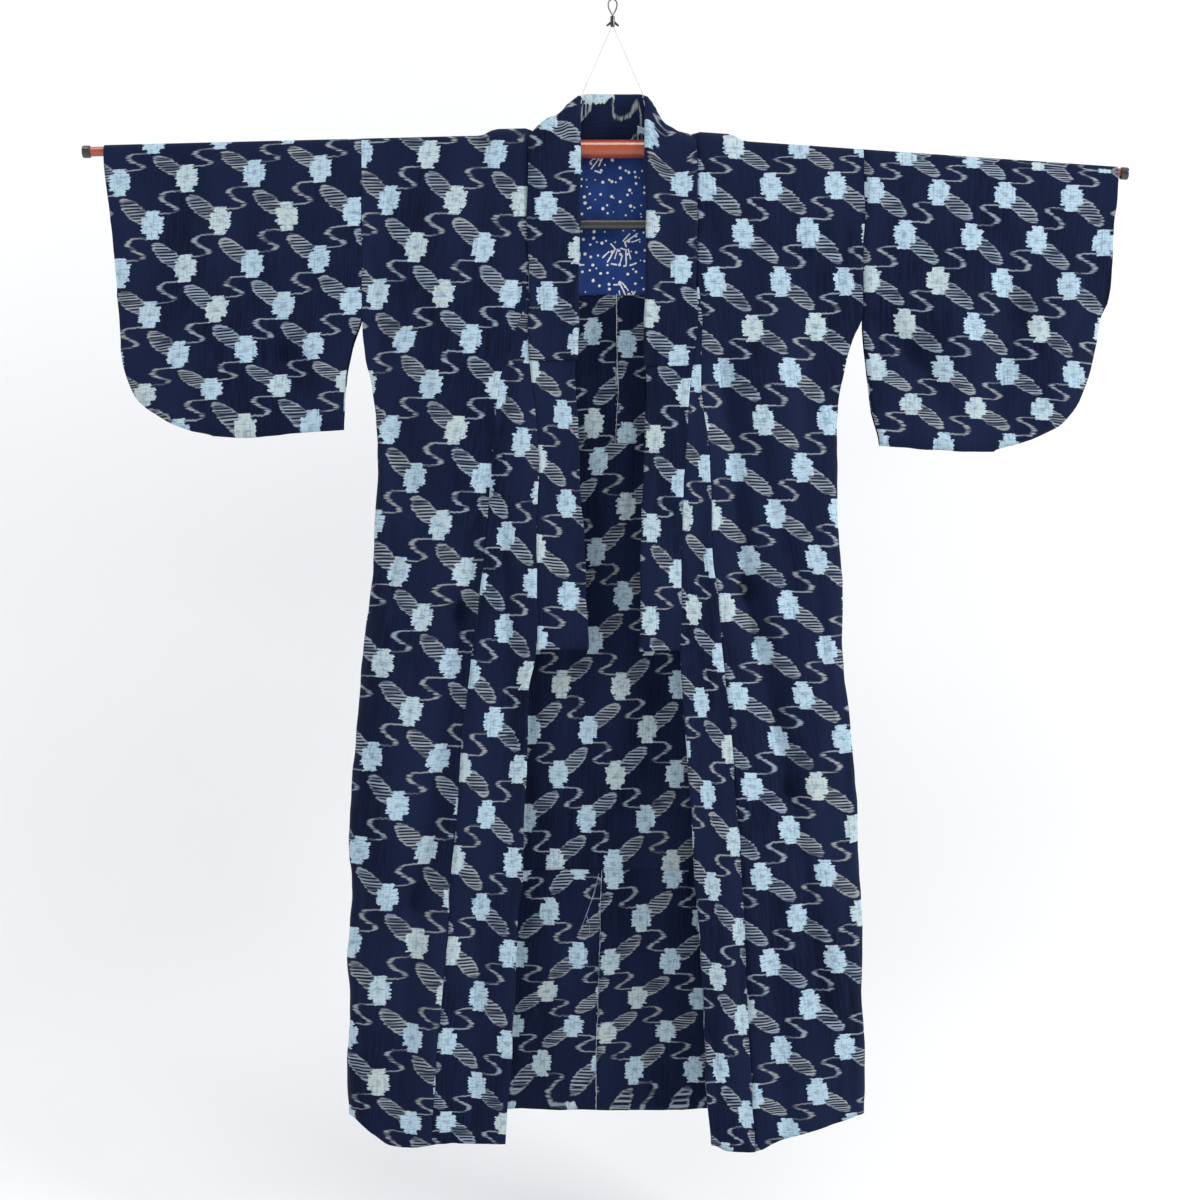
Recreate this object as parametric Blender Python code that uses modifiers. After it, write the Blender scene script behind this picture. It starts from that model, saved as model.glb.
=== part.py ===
"""Cotton kimono spread open on a telescoping hanger that hangs by a string from a small hook.

Metres, +Z up, -Y towards the viewer. The origin is the inner top of the hook's wire loop, where it hangs.
Heights are given as a drop below that point, and widths as a reach from the middle plane x = 0.
"""
import math
from collections import namedtuple

import bmesh
import bpy
from mathutils import Matrix, Vector

# Cloth: one layer of the body, the doubled collar, the thin cover and the patch
CLOTH = 0.0013
COLLAR_CLOTH = 0.0014
COVER_CLOTH = 0.0010
SEAM_GAP = 0.0003
NECK_SEAM_GAP = 0.0012
GORE_SEAM_GAP = 0.0008

# Neck, collar strip and the shoulder roll over the hanger
NECK_HALF = 0.1077
COLLAR_WIDTH = 0.064
NECK_DROP = 0.186
NECK_LIFT = 0.0215
LIFT_START = 0.035
ROLL_NECK = 0.0162
ROLL_COLLAR_TOP = 0.0090
ROLL_ARM = 0.0085
ROLL_CHANGE = (0.150, 0.170)
COLLAR_END = 0.778
BACK_LINE = 0.0755
BAND_CLEAR = 0.130
ARMHOLE = 0.3218
BACK_HEM = 1.430
COVER_END = (0.393, 0.404)
EDGE_WRAP = 0.0026
ROLL_EASE = 0.0015

# Patch inside the back of the neck
PATCH_HALF = 0.104
PATCH_TOP = 0.192
PATCH_LOW = 0.381

# Hanger
TUBE_RADIUS = 0.0118
TUBE_DROP = 0.1915
TUBE_HALF = 0.1147
JOINT_IN = 0.1150
JOINT_OUT = 0.1370
JOINT_HALF_DEPTH = 0.0112
JOINT_HEIGHT = 0.035
ARM_RADIUS = 0.0063
ARM_RISE = 0.0010
CAP_RADIUS = 0.0080
CAP_LENGTH = 0.011
BAR_DROP = 0.2885
BAR_RADIUS = 0.0070
BAR_HALF = 0.180
LINK_REACH = 0.1240
LINK_RADIUS = 0.0022
STRING_RADIUS = 0.0008
HOOK_LOW = 0.0345
WIRE_SIDES = 6
TOUCH = 0.0003

Line = namedtuple("Line", "drop reach")
Stop = namedtuple("Stop", "drop reach forward")
Hem = namedtuple("Hem", "reach drop")
Depth = namedtuple("Depth", "drop edge middle side")
Fold = namedtuple("Fold", "reach_top drop_top reach_low drop_low width depth")
Cuff = namedtuple("Cuff", "fraction reach")
Sleeve = namedtuple("Sleeve", "outer opening inner bottom folds")
Side = namedtuple(
    "Side",
    "name sign axis_reach axis_drop axis_slope arm_end string_reach "
    "side_line gore_line edge_line band_line main_fold hem depths folds turn sleeve")

# Depth of a fold is towards the wall when positive, towards the viewer when negative
LEFT = Side(
    name="left", sign=-1, axis_reach=0.172, axis_drop=0.1834, axis_slope=0.0252, arm_end=0.681,
    string_reach=0.0460,
    side_line=[Line(0.406, 0.3218), Line(0.514, 0.3180), Line(0.617, 0.3065), Line(0.720, 0.3080),
               Line(0.822, 0.3140), Line(0.925, 0.3215), Line(1.028, 0.3290), Line(1.157, 0.3320),
               Line(1.234, 0.3335), Line(1.430, 0.3360)],
    gore_line=[Line(0.355, 0.1082), Line(0.386, 0.1095), Line(0.437, 0.1248), Line(0.489, 0.1425),
               Line(0.567, 0.1512), Line(0.689, 0.1600), Line(0.773, 0.1713), Line(0.856, 0.1800),
               Line(0.957, 0.1912), Line(1.055, 0.1986), Line(1.411, 0.2240), Line(1.465, 0.2275)],
    edge_line=[Line(0.197, 0.1077), Line(0.412, 0.1068), Line(0.575, 0.0964), Line(0.773, 0.0949),
               Line(0.838, 0.0975), Line(0.898, 0.1065), Line(1.000, 0.1088), Line(1.084, 0.1125),
               Line(1.203, 0.1213), Line(1.292, 0.1262), Line(1.396, 0.1311), Line(1.460, 0.1362)],
    band_line=[Line(0.197, 0.0437), Line(0.300, 0.0443), Line(0.465, 0.0475), Line(0.600, 0.0420),
               Line(0.838, 0.0314)],
    main_fold=[Line(0.210, 0.1250), Line(0.308, 0.1270), Line(0.424, 0.1420), Line(0.514, 0.1560),
               Line(0.591, 0.1650), Line(0.681, 0.1768), Line(0.790, 0.1948), Line(0.914, 0.2179),
               Line(1.028, 0.2320), Line(1.157, 0.2475), Line(1.300, 0.2600), Line(1.460, 0.2700)],
    hem=[Hem(0.1362, 1.460), Hem(0.2220, 1.458), Hem(0.2530, 1.462), Hem(0.2800, 1.463),
         Hem(0.3050, 1.452), Hem(0.3360, 1.430)],
    depths=[Depth(0.300, 0.0145, 0.0125, 0.0085), Depth(0.400, 0.0160, 0.0160, 0.0085),
            Depth(0.550, 0.0200, 0.0220, 0.0120), Depth(0.750, 0.0250, 0.0280, 0.0160),
            Depth(1.000, 0.0300, 0.0330, 0.0200), Depth(1.250, 0.0360, 0.0390, 0.0220),
            Depth(1.460, 0.0420, 0.0450, 0.0240)],
    folds=[Fold(0.160, 0.560, 0.195, 0.790, 0.016, 0.008), Fold(0.195, 0.790, 0.247, 1.157, 0.018, 0.011),
           Fold(0.247, 1.157, 0.266, 1.400, 0.020, 0.008), Fold(0.300, 0.430, 0.262, 0.640, 0.024, 0.006),
           Fold(0.144, 0.660, 0.128, 0.950, 0.014, 0.005), Fold(0.172, 1.150, 0.180, 1.440, 0.016, 0.006),
           Fold(0.285, 0.800, 0.296, 1.150, 0.020, -0.005)],
    turn=0.004,
    sleeve=Sleeve(
        outer=[Cuff(0.0, 0.6520), Cuff(0.25, 0.6435), Cuff(0.51, 0.6350), Cuff(0.72, 0.6307),
               Cuff(0.863, 0.6140), Cuff(0.95, 0.5750), Cuff(0.985, 0.5450), Cuff(1.0, 0.5150)],
        opening=0.51,
        inner=[Line(0.180, 0.3222), Line(0.398, 0.3222), Line(0.450, 0.3350), Line(0.560, 0.3520)],
        bottom=[Hem(0.322, 0.552), Hem(0.389, 0.555), Hem(0.472, 0.563), Hem(0.530, 0.559),
                Hem(0.652, 0.556)],
        folds=[Fold(0.447, 0.360, 0.427, 0.456, 0.020, 0.006), Fold(0.427, 0.456, 0.395, 0.500, 0.020, 0.006),
               Fold(0.363, 0.260, 0.363, 0.340, 0.024, -0.003),
               Fold(0.550, 0.330, 0.545, 0.470, 0.030, -0.003)]))

RIGHT = Side(
    name="right", sign=1, axis_reach=0.162, axis_drop=0.1900, axis_slope=0.0685, arm_end=0.6625,
    string_reach=0.0450,
    side_line=[Line(0.406, 0.3218), Line(0.437, 0.3060), Line(0.540, 0.2925), Line(0.604, 0.2896),
               Line(0.720, 0.2945), Line(0.822, 0.2985), Line(0.964, 0.3050), Line(1.067, 0.3112),
               Line(1.234, 0.3178), Line(1.430, 0.3215)],
    gore_line=[Line(0.355, 0.1082), Line(0.407, 0.1105), Line(0.490, 0.1120), Line(0.593, 0.1212),
               Line(0.724, 0.1270), Line(0.841, 0.1384), Line(0.957, 0.1505), Line(1.098, 0.1601),
               Line(1.408, 0.1746), Line(1.465, 0.1775)],
    edge_line=[Line(0.197, 0.1077), Line(0.412, 0.1066), Line(0.481, 0.1011), Line(0.525, 0.0965),
               Line(0.644, 0.0894), Line(0.834, 0.0865), Line(0.898, 0.0895), Line(1.024, 0.0984),
               Line(1.141, 0.1056), Line(1.289, 0.1143), Line(1.377, 0.1181), Line(1.452, 0.1230)],
    band_line=[Line(0.197, 0.0437), Line(0.300, 0.0450), Line(0.466, 0.0424), Line(0.838, 0.0345)],
    main_fold=[Line(0.210, 0.1250), Line(0.339, 0.1300), Line(0.496, 0.1410), Line(0.640, 0.1560),
               Line(0.758, 0.1700), Line(0.890, 0.1990), Line(1.015, 0.2250), Line(1.110, 0.2420),
               Line(1.250, 0.2600), Line(1.460, 0.2720)],
    hem=[Hem(0.1230, 1.456), Hem(0.1410, 1.464), Hem(0.1800, 1.466), Hem(0.2080, 1.455),
         Hem(0.2470, 1.445), Hem(0.2930, 1.436), Hem(0.3215, 1.430)],
    depths=[Depth(0.300, 0.0145, 0.0125, 0.0085), Depth(0.400, 0.0170, 0.0160, 0.0085),
            Depth(0.550, 0.0250, 0.0220, 0.0120), Depth(0.750, 0.0360, 0.0290, 0.0160),
            Depth(1.000, 0.0500, 0.0350, 0.0180), Depth(1.250, 0.0580, 0.0390, 0.0180),
            Depth(1.460, 0.0620, 0.0430, 0.0180)],
    folds=[Fold(0.119, 0.261, 0.130, 0.339, 0.012, 0.003), Fold(0.141, 0.480, 0.170, 0.758, 0.016, 0.009),
           Fold(0.170, 0.758, 0.225, 1.015, 0.018, 0.011), Fold(0.225, 1.015, 0.264, 1.290, 0.018, 0.009),
           Fold(0.183, 0.578, 0.228, 0.758, 0.016, 0.006), Fold(0.205, 1.157, 0.218, 1.430, 0.016, 0.007),
           Fold(0.140, 1.060, 0.143, 1.300, 0.014, -0.005), Fold(0.187, 1.060, 0.190, 1.300, 0.014, -0.004)],
    turn=0.026,
    sleeve=Sleeve(
        outer=[Cuff(0.0, 0.6480), Cuff(0.22, 0.6395), Cuff(0.464, 0.6380), Cuff(0.62, 0.6250),
               Cuff(0.80, 0.6040), Cuff(0.888, 0.5620), Cuff(0.955, 0.5106), Cuff(1.0, 0.4700)],
        opening=0.485,
        inner=[Line(0.180, 0.3222), Line(0.406, 0.3222), Line(0.460, 0.3295), Line(0.574, 0.3410)],
        bottom=[Hem(0.322, 0.573), Hem(0.421, 0.578), Hem(0.479, 0.581), Hem(0.648, 0.583)],
        folds=[Fold(0.346, 0.418, 0.382, 0.456, 0.018, 0.006), Fold(0.382, 0.456, 0.434, 0.536, 0.018, 0.007),
               Fold(0.498, 0.308, 0.513, 0.407, 0.020, 0.006), Fold(0.513, 0.407, 0.491, 0.529, 0.020, 0.006),
               Fold(0.417, 0.400, 0.443, 0.450, 0.018, -0.004)]))

STRING_ROUTE = [Stop(0.0770, 0.0262, 0.001), Stop(0.1120, 0.0362, 0.004), Stop(0.1300, 0.0372, 0.004)]
BACK_SEAM = [Line(0.180, -0.0030), Line(0.566, -0.0030), Line(1.149, -0.0139), Line(1.430, -0.0213)]
BACK_FOLDS = [Fold(0.060, 0.560, 0.045, 1.100, 0.026, 0.003), Fold(0.190, 0.450, 0.170, 1.300, 0.030, -0.002),
              Fold(0.240, 0.500, 0.250, 1.350, 0.026, 0.003)]

# Rows of the panels, as fractions from the shoulder roll to the hem
BODY_ROWS = 24
GORE_FIRST = 4
ROLL_STEPS = 6
EDGE_FRACTIONS = (0.0, 0.5, 1.0)
SIDE_FRACTIONS = (0.10, 0.24, 0.42, 0.60, 0.78, 0.91, 0.975, 1.0)
SIDE_ROUND = 0.020
SLIT_END = 0.530
FRONT_STOPS = 18
BACK_SHARES = (0.0, 0.22, 0.42, 0.62, 0.81, 1.0)
ROLL_IN = NECK_HALF + math.sqrt(2) * ROLL_NECK * math.pi / 2


def smooth(value):
    """Smooth step of a value clamped between 0 and 1."""
    t = min(1.0, max(0.0, value))
    return t * t * (3.0 - 2.0 * t)


def lerp(a, b, t):
    return a + (b - a) * t


def curve(rows, key, at):
    """Smooth curve through the rows of a table, read at one value of its first column."""
    places = [row[0] for row in rows]
    values = [getattr(row, key) for row in rows]
    if at <= places[0]:
        return values[0]
    if at >= places[-1]:
        return values[-1]
    i = max(k for k in range(len(places) - 1) if places[k] <= at)

    def slope(k):
        if k == 0 or k == len(places) - 1:
            return 0.0
        before = (values[k] - values[k - 1]) / (places[k] - places[k - 1])
        after = (values[k + 1] - values[k]) / (places[k + 1] - places[k])
        return 0.0 if before * after <= 0 else 2 * before * after / (before + after)

    span = places[i + 1] - places[i]
    t = (at - places[i]) / span
    h00 = (1 + 2 * t) * (1 - t) ** 2
    h10 = t * (1 - t) ** 2
    h01 = t * t * (3 - 2 * t)
    h11 = t * t * (t - 1)
    return (h00 * values[i] + h10 * span * slope(i) + h01 * values[i + 1] + h11 * span * slope(i + 1))


def fold_offset(folds, reach, drop):
    """Sum of the folds' offsets at a place: each is a soft trough or ridge along a short line."""
    total = 0.0
    for fold in folds:
        dx = fold.reach_low - fold.reach_top
        dz = fold.drop_low - fold.drop_top
        length = math.hypot(dx, dz)
        along = ((reach - fold.reach_top) * dx + (drop - fold.drop_top) * dz) / length ** 2
        inside = min(1.0, max(0.0, along))
        away = math.hypot(reach - fold.reach_top - inside * dx, drop - fold.drop_top - inside * dz)
        total += fold.depth * math.exp(-(away / fold.width) ** 2)
    return total


def roll_radius(reach):
    """Half depth of the shoulder roll: wide over the joint block, narrow over the arm tube."""
    change = smooth((reach - ROLL_CHANGE[0]) / (ROLL_CHANGE[1] - ROLL_CHANGE[0]))
    return lerp(ROLL_NECK, ROLL_ARM, change)


def arm_drop(side, reach):
    return side.axis_drop + side.axis_slope * (reach - side.axis_reach)


def front_depth(side, reach, drop):
    """How far the front cloth stands towards the viewer from the plane of the hanger."""
    edge = curve(side.edge_line, "reach", drop)
    outer = curve(side.side_line, "reach", drop)
    across = min(1.0, max(0.0, (reach - edge) / (outer - edge)))
    at_edge = curve(side.depths, "edge", drop)
    at_middle = curve(side.depths, "middle", drop)
    at_side = curve(side.depths, "side", drop)
    if across < 0.5:
        hang = lerp(at_edge, at_middle, smooth(across * 2))
    else:
        hang = lerp(at_middle, at_side, smooth(across * 2 - 1))
    start = smooth((drop - arm_drop(side, reach)) / 0.10)
    return lerp(roll_radius(reach), hang, start) - start * fold_offset(side.folds, reach, drop)


def back_depth(side, reach, drop):
    """How far the back cloth lies towards the wall from the plane of the hanger."""
    start = smooth((drop - arm_drop(side, reach)) / 0.10)
    patch_zone = smooth((0.17 - reach) / 0.05) * smooth((0.52 - drop) / 0.10)
    hang = lerp(lerp(0.0090, 0.0150, smooth((drop - 0.30) / 0.9)), ROLL_NECK, patch_zone)
    return lerp(roll_radius(reach), hang, start) + start * fold_offset(BACK_FOLDS, reach, drop)


def collar_roll(across):
    return lerp(ROLL_NECK, ROLL_COLLAR_TOP, across / COLLAR_WIDTH)


def collar_point(side, along, across):
    """Middle of the collar strip: across the back, over a slanting roll, then down the front.

    along runs from the middle of the back, across from the sewn edge to the free edge.
    """
    roll = collar_roll(max(0.0, across))
    flat_turn = roll * math.pi / 2
    corner = (math.pi / 2 - 1) / math.sqrt(2) * roll
    start_x = NECK_HALF / 2 - corner
    start_drop = NECK_DROP - NECK_HALF / 2 + corner
    beyond = (along + across - NECK_HALF) / math.sqrt(2)
    level = (along - across) / math.sqrt(2)
    if abs(beyond) < flat_turn:
        inward = roll * (1 - math.cos(beyond / roll))
        forward = roll * math.sin(beyond / roll)
    else:
        inward = roll + abs(beyond) - flat_turn
        forward = math.copysign(roll, beyond)
    reach = start_x + (level - inward) / math.sqrt(2)
    lift = NECK_LIFT * smooth((along - LIFT_START) / (NECK_HALF - LIFT_START))
    drop = start_drop + (level + inward) / math.sqrt(2) - lift
    share = across / COLLAR_WIDTH
    wanted = lerp(curve(side.edge_line, "reach", drop), curve(side.band_line, "reach", drop), share)
    plain = lerp(NECK_HALF, NECK_HALF - COLLAR_WIDTH, share)
    settled = smooth(beyond / flat_turn)
    reach += (wanted - plain) * settled
    forward = lerp(forward, ROLL_NECK, smooth((drop - BAND_CLEAR) / 0.042) * settled)
    below = smooth((drop - 0.20) / 0.08) * settled
    forward = lerp(forward, front_depth(side, reach, drop), below)
    return Vector((side.sign * reach, -forward, -drop))


def shifted(rows, distances):
    """Rows of points moved off their surface, so that the faces between them stay parallel."""
    moved = []
    for i, (row, distance) in enumerate(zip(rows, distances)):
        line = []
        for j, point in enumerate(row):
            normals = []
            for di, dj in ((1, 1), (1, -1), (-1, -1), (-1, 1)):
                if 0 <= i + di < len(rows) and 0 <= j + dj < len(row):
                    across = rows[i + di][j] - point
                    along = row[j + dj] - point
                    normals.append((across.cross(along) * di * dj).normalized())
            mean = sum(normals, Vector()).normalized()
            lean = min(mean.dot(normal) for normal in normals)
            line.append(point + mean * distance / max(lean, 0.5))
        moved.append(line)
    return moved


def new_collection(name):
    collection = bpy.data.collections.new(name)
    bpy.context.scene.collection.children.link(collection)
    return collection


def material(name, colour, roughness, metallic=0.0):
    mat = bpy.data.materials.new(name)
    mat.use_nodes = True
    shader = mat.node_tree.nodes["Principled BSDF"]
    shader.inputs["Base Color"].default_value = (*colour, 1.0)
    shader.inputs["Roughness"].default_value = roughness
    shader.inputs["Metallic"].default_value = metallic
    mat.diffuse_color = (*colour, 1.0)
    return mat


def place(name, mesh, mat, collection):
    obj = bpy.data.objects.new(name, mesh)
    mesh.materials.append(mat)
    collection.objects.link(obj)
    return obj


def mesh_from_rows(name, rows, flip=False):
    """Open surface through rows of points; None leaves a gap, and points that coincide are sewn.

    Each twisted quad is split along its shorter diagonal, so that walls laid on each other stay parallel.
    """
    bm = bmesh.new()
    verts = [[bm.verts.new(point) if point is not None else None for point in row] for row in rows]
    for i in range(len(rows) - 1):
        for j in range(len(rows[i]) - 1):
            corners = [verts[i][j], verts[i + 1][j], verts[i + 1][j + 1], verts[i][j + 1]]
            if any(corner is None for corner in corners):
                continue
            if flip:
                corners.reverse()
            a, b, c, d = corners
            if (a.co - c.co).length <= (b.co - d.co).length:
                halves = ((a, b, c), (a, c, d))
            else:
                halves = ((a, b, d), (b, c, d))
            for half in halves:
                bm.faces.new(half)
    bmesh.ops.delete(bm, geom=[v for v in bm.verts if not v.link_faces], context="VERTS")
    bmesh.ops.remove_doubles(bm, verts=bm.verts, dist=0.00002)
    mesh = bpy.data.meshes.new(name)
    bm.to_mesh(mesh)
    bm.free()
    mesh.shade_smooth()
    return mesh


def cloth_wall(name, rows, thickness, mat, collection, flip=False, even=False):
    obj = place(name, mesh_from_rows(name, rows, flip), mat, collection)
    wall = obj.modifiers.new("Wall", "SOLIDIFY")
    wall.thickness = thickness
    wall.offset = 0.0
    wall.use_quality_normals = True
    wall.use_even_offset = even
    return obj


def side_edge(side, drop):
    """Where front and back meet at the side: the armhole above, the side seam below."""
    return ARMHOLE if drop < 0.406 else curve(side.side_line, "reach", drop)


def panel_columns(side, front, drop, inner):
    """Reaches of the panel's columns at a height, denser round the main fold and the side."""
    outer = side_edge(side, drop)
    middle = curve(side.main_fold, "reach", drop) if front else lerp(inner, outer, 0.25)
    middle = max(middle, inner + 0.010)
    columns = [lerp(inner, middle, t) for t in EDGE_FRACTIONS]
    columns += [lerp(middle, outer, t) for t in SIDE_FRACTIONS]
    return columns


def front_inner(side, drop):
    """Inner edge of the body panel on the front: the collar seam, then the gore seam."""
    if drop < side.gore_line[0].drop:
        return curve(side.edge_line, "reach", drop) + SEAM_GAP
    return curve(side.gore_line, "reach", drop)


def closing(side, reach, drop):
    """0 at the sewn side seam and 1 inside it, so that front and back meet in a soft round."""
    if drop <= SLIT_END:
        open_share = 1.0 - smooth((drop - 0.40) / (SLIT_END - 0.40)) * 0.55
        return lerp(open_share, 1.0, smooth((side_edge(side, drop) - reach) / SIDE_ROUND))
    distance = min(1.0, max(0.0, (side_edge(side, drop) - reach) / SIDE_ROUND))
    return math.sqrt(1.0 - (1.0 - distance) ** 2)


def body_panel(side, mat, collection):
    """Body panel in one length of cloth, from the back hem over the shoulder to the front hem."""
    fractions = [i / BODY_ROWS for i in range(BODY_ROWS + 1)]
    front_rows = []
    top_inner = collar_point(side, ROLL_IN, -NECK_SEAM_GAP)
    columns_count = len(EDGE_FRACTIONS) + len(SIDE_FRACTIONS)
    for fraction in fractions:
        row = []
        for j in range(columns_count):
            if j == 0:
                top = -top_inner.z
            else:
                top = arm_drop(side, side_edge(side, 0.3))
            rough_drop = lerp(top, side.hem[0].drop, fraction)
            reach = panel_columns(side, True, rough_drop, front_inner(side, rough_drop))[j]
            top = -top_inner.z if j == 0 else arm_drop(side, reach)
            low = curve(side.hem, "drop", reach)
            drop = lerp(top, low, fraction)
            reach = panel_columns(side, True, drop, front_inner(side, drop))[j]
            depth = front_depth(side, reach, drop) * closing(side, reach, drop)
            row.append(Vector((side.sign * reach, -depth, -drop)))
        front_rows.append(row)
    back_rows = []
    neck_inner = collar_point(side, BACK_LINE, -NECK_SEAM_GAP)
    for fraction in fractions:
        row = []
        drop_in = lerp(-neck_inner.z, BACK_HEM, fraction)
        seam = curve(BACK_SEAM, "reach", drop_in) * side.sign + SEAM_GAP / 2
        for t in BACK_SHARES[:-1]:
            reach = lerp(seam, abs(neck_inner.x), t)
            top = -collar_point(side, reach, -NECK_SEAM_GAP).z
            drop = lerp(top, BACK_HEM, fraction)
            row.append(Vector((side.sign * reach, back_depth(side, reach, drop), -drop)))
        for j in range(columns_count):
            drop = lerp(arm_drop(side, 0.25), BACK_HEM, fraction)
            reach = panel_columns(side, False, drop, abs(neck_inner.x))[j]
            top = -neck_inner.z if j == 0 else arm_drop(side, reach)
            drop = lerp(top, BACK_HEM, fraction)
            reach = panel_columns(side, False, drop, abs(neck_inner.x))[j]
            depth = back_depth(side, reach, drop) * closing(side, reach, drop)
            row.append(Vector((side.sign * reach, depth, -drop)))
        back_rows.append(row)
    roll_rows = []
    pad = [None] * (len(BACK_SHARES) - 1)
    for step in range(1, ROLL_STEPS):
        turn = math.pi * step / ROLL_STEPS
        row = list(pad)
        for j in range(columns_count):
            if j == 0:
                along = lerp(BACK_LINE, ROLL_IN, step / ROLL_STEPS)
                row.append(collar_point(side, along, -NECK_SEAM_GAP))
                continue
            back_top = back_rows[0][len(pad) + j]
            front_top = front_rows[0][j]
            reach = lerp(abs(back_top.x), abs(front_top.x), step / ROLL_STEPS)
            radius = roll_radius(reach)
            row.append(Vector((side.sign * reach, radius * math.cos(turn),
                               -arm_drop(side, reach) + radius * math.sin(turn))))
        roll_rows.append(row)
    rows = back_rows[::-1] + roll_rows + [pad + row for row in front_rows]
    sew_side(side, rows, len(pad) + columns_count - 1, fractions)
    cloth_wall(side.name + "_body", rows, CLOTH, mat, collection, flip=side.sign > 0)
    return [row[0] for row in front_rows]


def sew_side(side, rows, column, fractions):
    """Make the front and back edges coincide along the side seam, below the open slit."""
    for i in range(len(fractions)):
        back_row = rows[len(fractions) - 1 - i]
        front_row = rows[len(rows) - len(fractions) + i]
        if -front_row[column].z > SLIT_END:
            middle = (back_row[column] + front_row[column]) / 2
            back_row[column] = middle
            front_row[column] = middle.copy()


def gore(side, seam, mat, collection):
    """Tapered overlap panel: from the body panel's edge, given as points, to the front edge."""
    shares = [0.0, 0.33, 0.66, 1.0]
    turned = [1.5, 2.0] if side.turn > 0.01 else []
    full_rows = []
    for i in range(GORE_FIRST - 1, BODY_ROWS + 1):
        row = []
        start = abs(seam[i].x) - GORE_SEAM_GAP
        seam_drop = -seam[i].z
        low_share = (seam_drop + seam[0].z) / (-seam[-1].z + seam[0].z)
        for share in shares:
            inner = curve(side.edge_line, "reach", seam_drop) + GORE_SEAM_GAP
            reach = lerp(start, inner, share)
            low = curve(side.hem, "drop", reach)
            drop = lerp(-seam[0].z, low, low_share)
            reach = lerp(start, curve(side.edge_line, "reach", drop) + GORE_SEAM_GAP, share)
            row.append(Vector((side.sign * reach, -front_depth(side, reach, drop), -drop)))
        free = smooth((seam_drop - COLLAR_LOW - 0.03) / 0.12)
        for share in turned:
            if free == 0.0:
                row.append(None)
                continue
            bend = (share - 1.0) * math.pi / 2
            edge = row[3]
            back = free * side.turn * math.sin(bend) + 0.001
            out = free * 0.010 * (1 - math.cos(bend)) - 0.003 * free * math.sin(bend)
            row.append(edge + Vector((side.sign * out, back, 0.0)))
        full_rows.append(row)
    tip = [None if a is None or b is None else a.lerp(b, 0.25) for a, b in zip(full_rows[0], full_rows[1])]
    rows = [tip] + full_rows[1:]
    return cloth_wall(side.name + "_front_gore", rows, CLOTH, mat, collection, flip=side.sign > 0)


def sleeve_panel(side, mat, collection):
    """Sleeve in one length of cloth folded at the top: open wrist and inner edge, sewn round corner."""
    cut = side.sleeve
    fractions = [0.0, 0.09, 0.19, 0.29, 0.395, cut.opening, 0.62, 0.72, 0.81, 0.88, 0.93, 0.965, 0.988, 1.0]
    shares = [0.0, 0.12, 0.25, 0.38, 0.51, 0.64, 0.77, 0.89, 0.965, 1.0]

    def sheet(front):
        rows = []
        for fraction in fractions:
            row = []
            for share in shares:
                outer = curve(cut.outer, "reach", fraction)
                reach = lerp(0.34, outer, share)
                for _ in range(3):
                    top = arm_drop(side, reach)
                    drop = lerp(top, curve(cut.bottom, "drop", reach), fraction)
                    inner = curve(cut.inner, "reach", drop)
                    reach = lerp(inner, outer, share)
                gap = lerp(ROLL_ARM, 0.0070, smooth((drop - 0.25) / 0.25))
                low = curve(cut.bottom, "drop", reach)
                near_low = min(1.0, (low - drop) / 0.016)
                near_out = 1.0
                if fraction > cut.opening:
                    near_out = min(1.0, (outer - reach) / 0.016)
                elif fraction > cut.opening - 0.12:
                    near_out = lerp(1.0, 0.55, smooth((fraction - cut.opening + 0.12) / 0.12))
                    near_out = lerp(near_out, 1.0, smooth((outer - reach) / 0.03))
                shut = math.sqrt(max(0.0, 1 - (1 - near_low) ** 2))
                if fraction <= cut.opening:
                    shut *= near_out
                else:
                    shut *= math.sqrt(max(0.0, 1 - (1 - near_out) ** 2))
                start = smooth((drop - arm_drop(side, reach)) / 0.10) * smooth((reach - 0.322) / 0.02 + 0.3)
                shift = start * fold_offset(cut.folds, reach, drop)
                depth = shift + (-gap * shut if front else gap * shut)
                row.append(Vector((side.sign * reach, depth, -drop)))
            rows.append(row)
        return rows

    front_rows = sheet(True)
    back_rows = sheet(False)
    roll_rows = []
    for step in range(1, ROLL_STEPS):
        turn = math.pi * step / ROLL_STEPS
        row = []
        for j in range(len(shares)):
            reach = abs(front_rows[0][j].x)
            row.append(Vector((side.sign * reach, ROLL_ARM * math.cos(turn),
                               -arm_drop(side, reach) + ROLL_ARM * math.sin(turn))))
        roll_rows.append(row)
    rows = back_rows[::-1] + roll_rows + front_rows
    return cloth_wall(side.name + "_sleeve", rows, CLOTH, mat, collection, flip=side.sign > 0)


def collar_stops():
    """Places along the collar, close together on the slanting rolls and wider on the fronts."""
    back = [BACK_LINE * share for share in BACK_SHARES[:-1]]
    roll = [lerp(BACK_LINE, ROLL_IN, step / ROLL_STEPS / 2) for step in range(2 * ROLL_STEPS + 1)]
    front = [lerp(ROLL_IN, COLLAR_END, (i / FRONT_STOPS) ** 1.15) for i in range(1, FRONT_STOPS + 1)]
    return back + roll + front


def collar_rows():
    """Stops and points of the collar strip, from its left end round the neck to its right end."""
    stops = collar_stops()
    signed = [(LEFT, s) for s in stops[:0:-1]] + [(RIGHT, s) for s in stops]
    shares = (0.0, 0.25, 0.5, 0.75, 1.0)
    rows = [[collar_point(side, s, COLLAR_WIDTH * share) for share in shares] for side, s in signed]
    return [s * side.sign for side, s in signed], rows


def collar(mat, collection):
    _, rows = collar_rows()
    return cloth_wall("collar", rows, COLLAR_CLOTH, mat, collection, even=True)


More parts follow.
